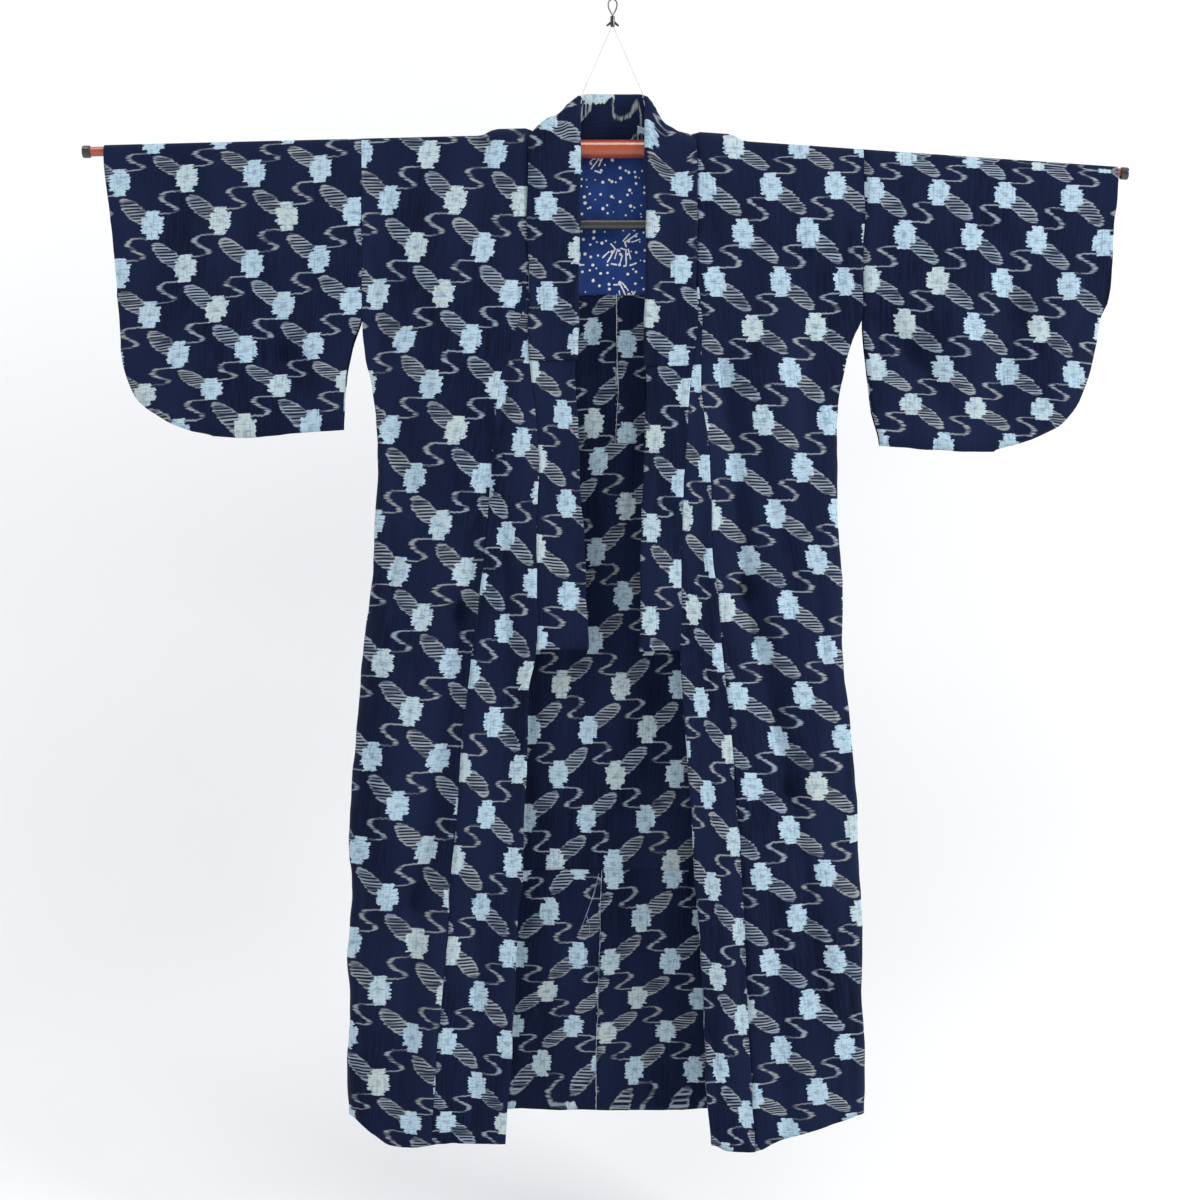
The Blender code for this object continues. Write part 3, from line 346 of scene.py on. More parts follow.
def collar_point(side, along, across):
    """Middle of the collar strip: across the back, over a slanting roll, then down the front.

    along runs from the middle of the back, across from the sewn edge to the free edge.
    """
    roll = collar_roll(max(0.0, across))
    flat_turn = roll * math.pi / 2
    corner = (math.pi / 2 - 1) / math.sqrt(2) * roll
    start_x = NECK_HALF / 2 - corner
    start_drop = NECK_DROP - NECK_HALF / 2 + corner
    beyond = (along + across - NECK_HALF) / math.sqrt(2)
    level = (along - across) / math.sqrt(2)
    if abs(beyond) < flat_turn:
        inward = roll * (1 - math.cos(beyond / roll))
        forward = roll * math.sin(beyond / roll)
    else:
        inward = roll + abs(beyond) - flat_turn
        forward = math.copysign(roll, beyond)
    reach = start_x + (level - inward) / math.sqrt(2)
    lift = NECK_LIFT * smooth((along - LIFT_START) / (NECK_HALF - LIFT_START))
    drop = start_drop + (level + inward) / math.sqrt(2) - lift
    sink = curve(CRESTS[side.name], "sink", 1.0 - across / COLLAR_WIDTH)
    drop += sink * (1.0 - smooth(beyond / CREST_REACH if beyond > 0 else -beyond / CREST_BACK))
    share = across / COLLAR_WIDTH
    wanted = lerp(curve(side.edge_line, "reach", drop), curve(side.band_line, "reach", drop), share)
    plain = lerp(NECK_HALF, NECK_HALF - COLLAR_WIDTH, share)
    settled = smooth(beyond / flat_turn)
    reach += (wanted - plain) * settled
    forward = lerp(forward, ROLL_NECK, smooth((drop - BAND_CLEAR) / 0.042) * settled)
    below = smooth((drop - 0.20) / 0.08) * settled
    forward = lerp(forward, front_depth(side, reach, drop), below)
    return Vector((side.sign * reach, -forward, -drop))


def shifted(rows, distances):
    """Rows of points moved off their surface, so that the faces between them stay parallel."""
    moved = []
    for i, (row, distance) in enumerate(zip(rows, distances)):
        line = []
        for j, point in enumerate(row):
            normals = []
            for di, dj in ((1, 1), (1, -1), (-1, -1), (-1, 1)):
                if 0 <= i + di < len(rows) and 0 <= j + dj < len(row):
                    across = rows[i + di][j] - point
                    along = row[j + dj] - point
                    normals.append((across.cross(along) * di * dj).normalized())
            mean = sum(normals, Vector()).normalized()
            lean = min(mean.dot(normal) for normal in normals)
            line.append(point + mean * distance / max(lean, 0.5))
        moved.append(line)
    return moved


# Woven pattern: one repeat of the cloth, and where it lies on each panel
REPEAT_ACROSS = 0.0857
REPEAT_ALONG = 0.1155
SHELL = 0.0009

Warp = namedtuple("Warp", "drop x count")
Weave = namedtuple("Weave", "warp across tilt turned")

# A column of crosses followed down each panel: its height, its place across, and how many repeats down
WEAVES = {
    "left_body": Weave(
        [Warp(0.0810, -0.1330, 0), Warp(0.2005, -0.1498, 1), Warp(0.3200, -0.1653, 2), Warp(0.4382, -0.1807, 3),
         Warp(0.5551, -0.1987, 4), Warp(0.6746, -0.2205, 5), Warp(0.7928, -0.2424, 6), Warp(0.9111, -0.2565, 7),
         Warp(1.0306, -0.2732, 8), Warp(1.1488, -0.2861, 9), Warp(1.2683, -0.2950, 10), Warp(1.3839, -0.2976, 11),
         Warp(1.5000, -0.3000, 12)], 0.0858, 0.010, 1),
    "right_body": Weave(
        [Warp(0.1240, 0.1080, 0), Warp(0.2416, 0.1187, 1), Warp(0.3649, 0.1303, 2), Warp(0.4819, 0.1431, 3),
         Warp(0.6027, 0.1573, 4), Warp(0.7209, 0.1753, 5), Warp(0.8353, 0.1907, 6), Warp(0.9496, 0.2100, 7),
         Warp(1.0640, 0.2254, 8), Warp(1.1732, 0.2344, 9), Warp(1.2863, 0.2498, 10), Warp(1.3955, 0.2601, 11),
         Warp(1.5050, 0.2700, 12)], 0.0835, -0.015, -1),
    "left_front_gore": Weave(
        [Warp(0.3300, -0.0860, -2), Warp(0.4500, -0.1020, -1), Warp(0.5700, -0.1180, 0), Warp(0.6900, -0.1350, 1), Warp(0.8070, -0.1395, 2), Warp(0.9252, -0.1511, 3),
         Warp(1.0434, -0.1601, 4), Warp(1.1604, -0.1665, 5), Warp(1.2747, -0.1704, 6), Warp(1.3865, -0.1730, 7),
         Warp(1.5000, -0.1760, 8)], 0.0730, 0.05, -1),
    "right_front_gore": Weave(
        [Warp(0.2600, 0.0930, -2), Warp(0.3750, 0.1010, -1), Warp(0.4900, 0.1090, 0), Warp(0.6040, 0.1174, 1), Warp(0.7235, 0.1265, 2), Warp(0.8430, 0.1367, 3),
         Warp(0.9599, 0.1483, 4), Warp(1.0750, 0.1530, 5), Warp(1.1900, 0.1580, 6), Warp(1.3000, 0.1630, 7),
         Warp(1.4200, 0.1680, 8), Warp(1.5400, 0.1730, 9)], 0.0600, 0.02, 1),
    "left_sleeve": Weave(
        [Warp(0.1080, -0.4590, 0), Warp(0.2236, -0.4595, 1), Warp(0.3410, -0.4606, 2), Warp(0.4511, -0.4698, 3),
         Warp(0.5680, -0.4720, 4)], 0.0857, -0.070, 1),
    "right_sleeve": Weave(
        [Warp(0.1380, 0.5040, 0), Warp(0.2519, 0.5030, 1), Warp(0.3649, 0.5004, 2), Warp(0.4793, 0.5081, 3),
         Warp(0.5937, 0.5090, 4)], 0.0848, 0.038, -1),
}
# The back of each body panel: a column of crosses going down it, counted backwards from the shoulder
BACK_WEAVES = {
    "left": [Warp(0.1880, -0.0193, 0.664), Warp(0.4221, -0.0252, -1.5), Warp(0.5431, -0.0255, -2.5),
             Warp(0.8860, -0.0335, -5.5), Warp(1.2298, -0.0453, -8.5), Warp(1.4430, -0.0550, -10.386)],
    "right": [Warp(0.1880, 0.0303, 0.313), Warp(0.4401, 0.0187, -2.0), Warp(0.5590, 0.0185, -3.0),
              Warp(0.9000, 0.0100, -6.0), Warp(1.2388, -0.0033, -9.0), Warp(1.4500, -0.0135, -10.87)]}
BACK_COLUMN = {"left": 1.5, "right": -1.0}
BACK_ACROSS = 0.0775

# Lining of the seat, sewn inside the back across its seam
LINING_TOP = 0.568
LINING_LOW = 1.1205
LINING_HALF = 0.178
LINING_CROSS = (-0.0214, 0.7077)
LINING_LEAN = -0.037
FOLD_DEPTH = 1.45

# Narrower creases than the cloth's main folds
CREASES = {
    "left": [
        Fold(0.110, 0.240, 0.121, 0.380, 0.007, 0.0022), Fold(0.121, 0.380, 0.144, 0.560, 0.008, 0.0030),
        Fold(0.149, 0.590, 0.163, 0.640, 0.007, 0.0016), Fold(0.136, 0.700, 0.131, 0.820, 0.006, 0.0020),
        Fold(0.205, 0.300, 0.221, 0.520, 0.010, -0.0018), Fold(0.252, 0.330, 0.244, 0.520, 0.008, 0.0018),
        Fold(0.291, 0.260, 0.272, 0.420, 0.009, 0.0026), Fold(0.310, 0.330, 0.296, 0.470, 0.007, 0.0022),
        Fold(0.279, 0.560, 0.286, 0.760, 0.008, 0.0020), Fold(0.325, 1.110, 0.326, 1.370, 0.007, 0.0030),
        Fold(0.200, 1.360, 0.203, 1.460, 0.007, 0.0028), Fold(0.284, 1.200, 0.290, 1.440, 0.009, 0.0024),
        Fold(0.228, 1.280, 0.232, 1.450, 0.008, -0.0022), Fold(0.150, 1.020, 0.152, 1.240, 0.008, 0.0018),
        Fold(0.303, 0.880, 0.312, 1.060, 0.007, 0.0016), Fold(0.182, 0.480, 0.190, 0.600, 0.007, 0.0014)],
    "right": [
        Fold(0.205, 0.270, 0.212, 0.480, 0.010, -0.0016), Fold(0.270, 0.260, 0.262, 0.400, 0.008, 0.0024),
        Fold(0.299, 0.300, 0.276, 0.440, 0.008, 0.0028), Fold(0.252, 0.420, 0.246, 0.560, 0.008, 0.0018),
        Fold(0.158, 0.640, 0.186, 0.820, 0.008, 0.0020), Fold(0.127, 0.700, 0.131, 0.900, 0.006, -0.0020),
        Fold(0.183, 1.030, 0.185, 1.110, 0.007, 0.0030), Fold(0.119, 1.300, 0.131, 1.370, 0.007, 0.0030),
        Fold(0.262, 0.760, 0.282, 0.960, 0.009, 0.0018), Fold(0.246, 1.100, 0.252, 1.400, 0.008, 0.0022),
        Fold(0.290, 0.800, 0.297, 1.060, 0.007, 0.0020), Fold(0.236, 0.620, 0.250, 0.760, 0.007, 0.0016),
        Fold(0.160, 1.180, 0.168, 1.440, 0.008, 0.0020), Fold(0.300, 1.150, 0.306, 1.400, 0.007, 0.0022)]}
SLEEVE_CREASES = {
    "left": [
        Fold(0.330, 0.360, 0.345, 0.470, 0.008, 0.0026), Fold(0.395, 0.290, 0.372, 0.390, 0.008, 0.0020),
        Fold(0.480, 0.250, 0.470, 0.400, 0.010, 0.0016), Fold(0.532, 0.420, 0.528, 0.540, 0.008, 0.0018),
        Fold(0.590, 0.400, 0.570, 0.520, 0.007, 0.0018), Fold(0.610, 0.240, 0.606, 0.350, 0.008, -0.0014),
        Fold(0.420, 0.490, 0.440, 0.548, 0.007, 0.0020), Fold(0.626, 0.374, 0.600, 0.395, 0.006, 0.0018)],
    "right": [
        Fold(0.335, 0.380, 0.348, 0.480, 0.008, 0.0024), Fold(0.400, 0.280, 0.420, 0.380, 0.008, 0.0018),
        Fold(0.560, 0.270, 0.553, 0.420, 0.010, 0.0016), Fold(0.452, 0.470, 0.470, 0.560, 0.007, 0.0018),
        Fold(0.595, 0.420, 0.575, 0.500, 0.007, 0.0020), Fold(0.540, 0.500, 0.520, 0.565, 0.007, 0.0016),
        Fold(0.602, 0.240, 0.600, 0.340, 0.008, -0.0014), Fold(0.628, 0.390, 0.602, 0.404, 0.006, 0.0018)]}
BACK_CREASES = [
    Fold(0.030, 0.590, 0.022, 0.820, 0.008, 0.0016), Fold(0.072, 0.600, 0.066, 0.860, 0.007, -0.0012),
    Fold(0.050, 1.150, 0.058, 1.400, 0.009, 0.0018), Fold(0.118, 0.700, 0.110, 1.060, 0.010, 0.0016),
    Fold(0.150, 1.140, 0.162, 1.390, 0.009, 0.0018), Fold(0.215, 0.620, 0.222, 0.980, 0.009, 0.0016),
    Fold(0.272, 0.460, 0.258, 0.760, 0.009, 0.0020), Fold(0.280, 1.000, 0.290, 1.320, 0.009, 0.0018),
    Fold(0.020, 1.180, 0.026, 1.300, 0.006, 0.0014), Fold(0.300, 0.300, 0.284, 0.460, 0.008, 0.0022)]


def wrinkle(x, drop, seed):
    """Small uneven waves of washed cotton, longer down the warp than across it."""
    slow = noise.noise(Vector((x * 16.0, drop * 5.0, seed)))
    quick = noise.noise(Vector((x * 55.0, drop * 11.0, seed + 7.0)))
    fine = noise.noise(Vector((x * 120.0, drop * 30.0, seed + 13.0)))
    return 0.0040 * slow + 0.0024 * quick + 0.0006 * fine


def count_down(weave, drop):
    """Repeats of the pattern down to a height, along the panel's column of crosses."""
    return curve(weave.warp, "count", drop)


def cloth_place(weave, x, drop):
    """Place on the flat cloth, in metres: across the weft, and down the warp."""
    across = (x - curve(weave.warp, "x", drop)) / weave.across * REPEAT_ACROSS
    level = drop - weave.tilt * (x - curve(weave.warp, "x", drop))
    return weave.turned * across, weave.turned * count_down(weave, level) * REPEAT_ALONG


def back_place(side, weave, x, drop):
    """Place on the flat cloth for the back of a body panel, one length with its front."""
    warp = BACK_WEAVES[side.name]
    repeat = lerp(weave.across, BACK_ACROSS, smooth((drop - 0.20) / 0.20))
    across = (x - curve(warp, "x", drop)) / repeat + BACK_COLUMN[side.name]
    return weave.turned * across * REPEAT_ACROSS, weave.turned * curve(warp, "count", drop) * REPEAT_ALONG


def waved(point):
    """Shift a point along the cloth by a small slow wave, so that no edge or seam is ruler-straight."""
    place = Vector((point.x * 13.0, 0.0, point.z * 13.0))
    slow = noise.noise_vector(place)
    quick = noise.noise_vector(place * 3.1 + Vector((5.0, 0.0, 2.0)))
    low = smooth((-point.z - 0.215) / 0.08)
    shift = slow * 0.0030 + quick * 0.0011
    return point + Vector((shift.x * (0.25 + 0.75 * low), 0.0, shift.z * low))


def grid_mesh(name, rows, cloth, mat, flip=False):
    """Open cloth surface through rows of points, with its places on the flat cloth as a UV map."""
    bm = bmesh.new()
    layer = bm.loops.layers.uv.new("cloth")
    verts = [[bm.verts.new(waved(point)) if point is not None else None for point in row] for row in rows]
    flat = {}
    for row, uv_row in zip(verts, cloth):
        for vert, uv in zip(row, uv_row):
            if vert is not None:
                flat[vert] = uv
    for i in range(len(rows) - 1):
        for j in range(len(rows[i]) - 1):
            corners = [verts[i][j], verts[i + 1][j], verts[i + 1][j + 1], verts[i][j + 1]]
            if any(corner is None for corner in corners):
                continue
            if flip:
                corners.reverse()
            face = bm.faces.new(corners)
            face.smooth = True
            for loop in face.loops:
                loop[layer].uv = flat[loop.vert]
    bmesh.ops.delete(bm, geom=[v for v in bm.verts if not v.link_faces], context="VERTS")
    mesh = bpy.data.meshes.new(name)
    bm.to_mesh(mesh)
    bm.free()
    mesh.materials.append(mat)
    obj = bpy.data.objects.new(name, mesh)
    bpy.context.scene.collection.objects.link(obj)
    return obj


def cloth_shell(name, rows, cloth, mat, nodes, flip=False, thickness=SHELL, offset=0.0):
    """Thin shell of cloth that stands for one CAD wall."""
    obj = grid_mesh(name, rows, cloth, mat, flip)
    wall = obj.modifiers.new("Wall", "SOLIDIFY")
    wall.thickness = thickness
    wall.offset = offset
    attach(obj, "root")
    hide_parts(*nodes)
    return obj


def side_edge(side, drop):
    """Where front and back meet at the side: the armhole above, the side seam below."""
    return ARMHOLE if drop < 0.406 else curve(side.side_line, "reach", drop)


def panel_columns(side, front, drop, inner):
    """Reaches of the panel's columns at a height, denser round the main fold and the side."""
    outer = side_edge(side, drop)
    middle = curve(side.main_fold, "reach", drop) if front else lerp(inner, outer, 0.25)
    middle = max(middle, inner + 0.010)
    columns = [lerp(inner, middle, t) for t in EDGE_FRACTIONS]
    columns += [lerp(middle, outer, t) for t in SIDE_FRACTIONS]
    return columns


def front_inner(side, drop):
    """Inner edge of the body panel on the front: the collar seam, then the gore seam."""
    if drop < side.gore_line[0].drop:
        return curve(side.edge_line, "reach", drop) + SEAM_GAP
    return curve(side.gore_line, "reach", drop)


def closing(side, reach, drop):
    """0 at the sewn side seam and 1 inside it, so that front and back meet in a soft round."""
    if drop <= SLIT_END:
        open_share = 1.0 - smooth((drop - 0.40) / (SLIT_END - 0.40)) * 0.55
        return lerp(open_share, 1.0, smooth((side_edge(side, drop) - reach) / SIDE_ROUND))
    distance = min(1.0, max(0.0, (side_edge(side, drop) - reach) / SIDE_ROUND))
    return math.sqrt(1.0 - (1.0 - distance) ** 2)


def body_panel(side, mat):
    """Body panel in one length of cloth, from the back hem over the shoulder to the front hem."""
    weave = WEAVES[side.name + "_body"]
    fractions = [i / BODY_ROWS for i in range(BODY_ROWS + 1)]
    top_inner = collar_point(side, ROLL_IN, -NECK_SEAM_GAP)
    columns_count = len(EDGE_FRACTIONS) + len(SIDE_FRACTIONS)
    front_rows, front_cloth = [], []
    for fraction in fractions:
        row, flat = [], []
        for j in range(columns_count):
            top = -top_inner.z if j == 0 else arm_drop(side, side_edge(side, 0.3))
            rough_drop = lerp(top, side.hem[0].drop, fraction)
            reach = panel_columns(side, True, rough_drop, front_inner(side, rough_drop))[j]
            near_neck = max(0.0, 1.0 - j / NECK_COLUMNS)
            top = lerp(arm_drop(side, reach), -top_inner.z, near_neck)
            drop = lerp(top, curve(side.hem, "drop", reach), fraction)
            reach = panel_columns(side, True, drop, front_inner(side, drop))[j]
            depth = front_depth(side, reach, drop) * closing(side, reach, drop)
            if j == 0:
                reach, depth = reach - TUCKED, depth - 0.0009
            x = side.sign * reach
            row.append(Vector((x, -depth, -drop)))
            flat.append(cloth_place(weave, x, drop))
        front_rows.append(row)
        front_cloth.append(flat)
    neck_inner = collar_point(side, BACK_LINE, -NECK_SEAM_GAP)
    back_rows, back_cloth = [], []
    for fraction in fractions:
        row, flat = [], []
        seam_drop = lerp(-neck_inner.z, BACK_HEM, fraction)
        seam = curve(BACK_SEAM, "reach", seam_drop) * side.sign + SEAM_GAP / 2
        for t in BACK_SHARES[:-1]:
            reach = lerp(seam, abs(neck_inner.x), t)
            top = -collar_point(side, reach, -NECK_SEAM_GAP).z
            drop = lerp(top, BACK_HEM, fraction)
            row.append(Vector((side.sign * reach, back_depth(side, reach, drop), -drop)))
        for j in range(columns_count):
            drop = lerp(arm_drop(side, 0.25), BACK_HEM, fraction)
            reach = panel_columns(side, False, drop, abs(neck_inner.x))[j]
            near_neck = max(0.0, 1.0 - j / NECK_COLUMNS)
            top = lerp(arm_drop(side, reach), -neck_inner.z, near_neck)
            drop = lerp(top, BACK_HEM, fraction)
            reach = panel_columns(side, False, drop, abs(neck_inner.x))[j]
            depth = back_depth(side, reach, drop) * closing(side, reach, drop)
            row.append(Vector((side.sign * reach, depth, -drop)))
        flat = [back_place(side, weave, point.x, -point.z) for point in row]
        back_rows.append(row)
        back_cloth.append(flat)
    pad = [None] * (len(BACK_SHARES) - 1)
    roll_rows, roll_cloth = [], []
    for step in range(1, ROLL_STEPS):
        turn = math.pi * step / ROLL_STEPS
        row, flat = list(pad), list(pad)
        for j in range(columns_count):
            near_neck = max(0.0, 1.0 - j / NECK_COLUMNS)
            back_top = back_rows[0][len(pad) + j]
            front_top = front_rows[0][j]
            reach = lerp(abs(back_top.x), abs(front_top.x), step / ROLL_STEPS)
            radius = roll_radius(reach)
            point = Vector((side.sign * reach, radius * math.cos(turn),
                            -arm_drop(side, reach) + radius * math.sin(turn)))
            along = lerp(BACK_LINE, ROLL_IN, step / ROLL_STEPS)
            point = point.lerp(collar_point(side, along, -NECK_SEAM_GAP), near_neck)
            row.append(point)
            share = step / ROLL_STEPS
            start, end = back_cloth[0][len(pad) + j], front_cloth[0][j]
            flat.append((lerp(start[0], end[0], share), lerp(start[1], end[1], share)))
        roll_rows.append(row)
        roll_cloth.append(flat)
    rows = back_rows[::-1] + roll_rows + [pad + row for row in front_rows]
    cloth = back_cloth[::-1] + roll_cloth + [pad + flat for flat in front_cloth]
    sew_side(rows, len(pad) + columns_count - 1)
    cloth_shell(side.name + "_body_cloth", rows, cloth, mat, [side.name + "_body"],
                flip=side.sign > 0)
    return [row[0] for row in front_rows]


def sew_side(rows, column):
    """Make the back edge meet the front edge along the side seam, below the open slit."""
    for row in rows:
        if -row[column].z > SLIT_END:
            row[column].y = 0.0


def gore(side, seam, mat):
    """Tapered overlap panel: from the body panel's edge, given as points, to the front edge."""
    weave = WEAVES[side.name + "_front_gore"]
    columns = [i / GORE_COLUMNS for i in range(GORE_COLUMNS + 1)]
    turned = [1.0 + i / 6 for i in range(1, 7)] if side.turn > 0.01 else []
    rows, cloth = [], []
    for i in range(GORE_FIRST, BODY_ROWS + 1):
        row, flat = [], []
        start = abs(seam[i].x) + 2 * TUCKED
        seam_drop = -seam[i].z
        low_share = (seam_drop + seam[0].z) / (-seam[-1].z + seam[0].z)
        for share in columns:
            inner = curve(side.edge_line, "reach", seam_drop) + GORE_SEAM_GAP
            reach = lerp(start, inner, share)
            low = curve(side.hem, "drop", reach)
            drop = lerp(-seam[0].z, low, low_share)
            reach = lerp(start, curve(side.edge_line, "reach", drop) + GORE_SEAM_GAP, share)
            x = side.sign * reach
            row.append(Vector((x, -front_depth(side, reach, drop), -drop)))
            flat.append(cloth_place(weave, x, drop))
        free = smooth((seam_drop - COLLAR_LOW - 0.03) / 0.12)
        for share in turned:
            if free == 0.0:
                row.append(None)
                flat.append(None)
                continue
            bend = (share - 1.0) * math.pi / 2
            back = free * side.turn * math.sin(bend) + 0.001
            out = free * 0.010 * (1 - math.cos(bend)) - 0.003 * free * math.sin(bend)
            edge = row[GORE_COLUMNS]
            row.append(edge + Vector((side.sign * out, back, 0.0)))
            flat.append((flat[GORE_COLUMNS][0] - side.sign * back, flat[GORE_COLUMNS][1]))
        rows.append(row)
        cloth.append(flat)
    cloth_shell(side.name + "_front_gore_cloth", rows, cloth, mat, [side.name + "_front_gore"],
                flip=side.sign > 0)


def sleeve_panel(side, mat):
    """Sleeve in one length of cloth folded at the top: open wrist and inner edge, sewn round corner."""
    cut = side.sleeve
    weave = WEAVES[side.name + "_sleeve"]
    folds = cut.folds + SLEEVE_CREASES[side.name]
    upper = [cut.opening * i / 32 for i in range(33)]
    fractions = upper + [lerp(cut.opening, 1.0, math.sin(math.pi / 2 * i / 34)) for i in range(1, 35)]
    shares = [math.sin(math.pi / 2 * i / 44) for i in range(45)]

    def sheet(front):
        rows = []
        for fraction in fractions:
            row = []
            for share in shares:
                outer = curve(cut.outer, "reach", fraction)
                reach = lerp(0.34, outer, share)
                for _ in range(3):
                    top = arm_drop(side, reach)
                    drop = lerp(top, curve(cut.bottom, "drop", reach), fraction)
                    inner = curve(cut.inner, "reach", drop)
                    reach = lerp(inner, outer, share)
                gap = lerp(ROLL_ARM, 0.0070, smooth((drop - 0.25) / 0.25))
                low = curve(cut.bottom, "drop", reach)
                near_low = min(1.0, (low - drop) / 0.016)
                near_out = 1.0
                if fraction > cut.opening:
                    near_out = min(1.0, (outer - reach) / 0.016)
                elif fraction > cut.opening - 0.12:
                    near_out = lerp(1.0, 0.55, smooth((fraction - cut.opening + 0.12) / 0.12))
                    near_out = lerp(near_out, 1.0, smooth((outer - reach) / 0.03))
                shut = math.sqrt(max(0.0, 1 - (1 - near_low) ** 2))
                if fraction <= cut.opening:
                    shut *= near_out
                else:
                    shut *= math.sqrt(max(0.0, 1 - (1 - near_out) ** 2))
                below = smooth((drop - arm_drop(side, reach)) / 0.10)
                start = below * smooth((reach - 0.322) / 0.02 + 0.3)
                shift = start * 1.3 * fold_offset(folds, reach, drop)
                x = side.sign * reach
                shift += below * shut * wrinkle(x, drop, 3.0 if front else 9.0)
                depth = shift + (-gap * shut if front else gap * shut)
                row.append(Vector((x, depth, -drop)))
            rows.append(row)
        return rows

    front_rows = sheet(True)
    back_rows = sheet(False)
    front_cloth = [[cloth_place(weave, p.x, -p.z) for p in row] for row in front_rows]
    tops = [flat[1] for flat in front_cloth[0]]
    turn_length = math.pi * ROLL_ARM
    back_cloth = [[(flat[0], 2 * top - flat[1] - turn_length) for flat, top in zip(row, tops)]
                  for row in front_cloth]
    roll_rows, roll_cloth = [], []
    for step in range(1, ROLL_STEPS):
        turn = math.pi * step / ROLL_STEPS
        row, flat = [], []
        for j in range(len(shares)):
            x = front_rows[0][j].x
            row.append(Vector((x, ROLL_ARM * math.cos(turn),
                               -arm_drop(side, abs(x)) + ROLL_ARM * math.sin(turn))))
            flat.append((front_cloth[0][j][0], tops[j] - turn_length * (1 - step / ROLL_STEPS)))
        roll_rows.append(row)
        roll_cloth.append(flat)
    rows = back_rows[::-1] + roll_rows + front_rows
    cloth = back_cloth[::-1] + roll_cloth + front_cloth
    cloth_shell(side.name + "_sleeve_cloth", rows, cloth, mat, [side.name + "_sleeve"],
                flip=side.sign > 0)


def collar_stops():
    """Places along the collar, close together on the slanting rolls and wider on the fronts."""
    back = [BACK_LINE * i / COLLAR_BACK for i in range(COLLAR_BACK)]
    roll = [lerp(BACK_LINE, ROLL_IN, step / ROLL_STEPS / 2) for step in range(2 * ROLL_STEPS + 1)]
    front = [lerp(ROLL_IN, COLLAR_END, (i / FRONT_STOPS) ** 1.15) for i in range(1, FRONT_STOPS + 1)]
    return back + roll + front


def collar_rows():
    """Stops and points of the collar strip, from its left end round the neck to its right end."""
    stops = collar_stops()
    signed = [(LEFT, s) for s in stops[:0:-1]] + [(RIGHT, s) for s in stops]
    shares = [i / COLLAR_COLUMNS for i in range(COLLAR_COLUMNS + 1)]
    rows = [[collar_point(side, s, COLLAR_WIDTH * share) for share in shares] for side, s in signed]
    return [s * side.sign for side, s in signed], rows


def strip_cloth(places, widths, left, right):
    """Flat places of a strip whose warp runs along it: what its pattern is shifted by at each end."""
    cloth = []
    for place in places:
        share = smooth((place + 0.1) / 0.2)
        aside, shift = lerp(left[0], right[0], share), lerp(left[1], right[1], share)
        cloth.append([(aside - width, place - shift) for width in widths])
    return cloth


def collar(mat):
    places, rows = collar_rows()
    widths = [COLLAR_WIDTH * i / COLLAR_COLUMNS for i in range(COLLAR_COLUMNS + 1)]
    cloth_shell("collar_cloth", rows, strip_cloth(places, widths, (0.042, -0.0147), (0.048, 0.046)), mat, ["collar"],
                thickness=0.0012)


def over_collar(mat):
    """Second strip folded round the collar's free edge, from one breast round the neck to the other."""
    lift = COLLAR_CLOTH / 2 + SEAM_GAP + COVER_CLOTH / 2
    stops, rows = collar_rows()
    first = next(i for i, s in enumerate(stops) if s > -COVER_END[0])
    last = next(i for i, s in enumerate(stops) if s > COVER_END[1])

    def cut_row(i, stop):
        t = (stop - stops[i - 1]) / (stops[i] - stops[i - 1])
        return [a.lerp(b, t) for a, b in zip(rows[i - 1], rows[i])]

    base = [cut_row(first, -COVER_END[0])] + rows[first:last] + [cut_row(last, COVER_END[1])]
    places = [-COVER_END[0]] + stops[first:last] + [COVER_END[1]]
    lifts = []
    for s in places:
        on_roll = smooth((0.190 - abs(s)) / 0.04) * smooth((abs(s) - 0.005) / 0.02)
        lifts.append(lift + ROLL_EASE * on_roll)
    outer = shifted(base, [-value for value in lifts])
    inner = shifted(base, lifts)
    covered = []
    for middle, out, back in zip(base, outer, inner):
        away = (middle[-1] - middle[-2]).normalized()
        covered.append(out + [middle[-1] + away * EDGE_WRAP] + back[::-1])
    widths = [COLLAR_WIDTH * i / COLLAR_COLUMNS for i in range(COLLAR_COLUMNS + 1)]
    widths = widths + [COLLAR_WIDTH + 0.003] + [0.006 + 2 * COLLAR_WIDTH - width for width in widths[::-1]]
    cloth_shell("over_collar_cloth", covered, strip_cloth(places, widths, (0.024, 0.021), (0.020, 0.061)), mat,
                ["over_collar"], thickness=0.0009)


def neck_patch(mat):
    """Printed cotton patch sewn inside the back, below the collar."""
    offset = CLOTH / 2 + SEAM_GAP + COVER_CLOTH / 2
    rows, cloth = [], []
    for i in range(PATCH_ROWS + 1):
        row, flat = [], []
        for j in range(PATCH_ROWS + 1):
            x = lerp(-PATCH_HALF, PATCH_HALF, j / PATCH_ROWS)
            side = LEFT if x < 0 else RIGHT
            drop = lerp(PATCH_TOP, PATCH_LOW, i / PATCH_ROWS)
            row.append(Vector((x, back_depth(side, abs(x), drop) - offset, -drop)))
            flat.append((x, drop))
        rows.append(row)
        cloth.append(flat)
    cloth_shell("neck_patch_cloth", rows, cloth, mat, ["neck_patch"], thickness=0.0008)


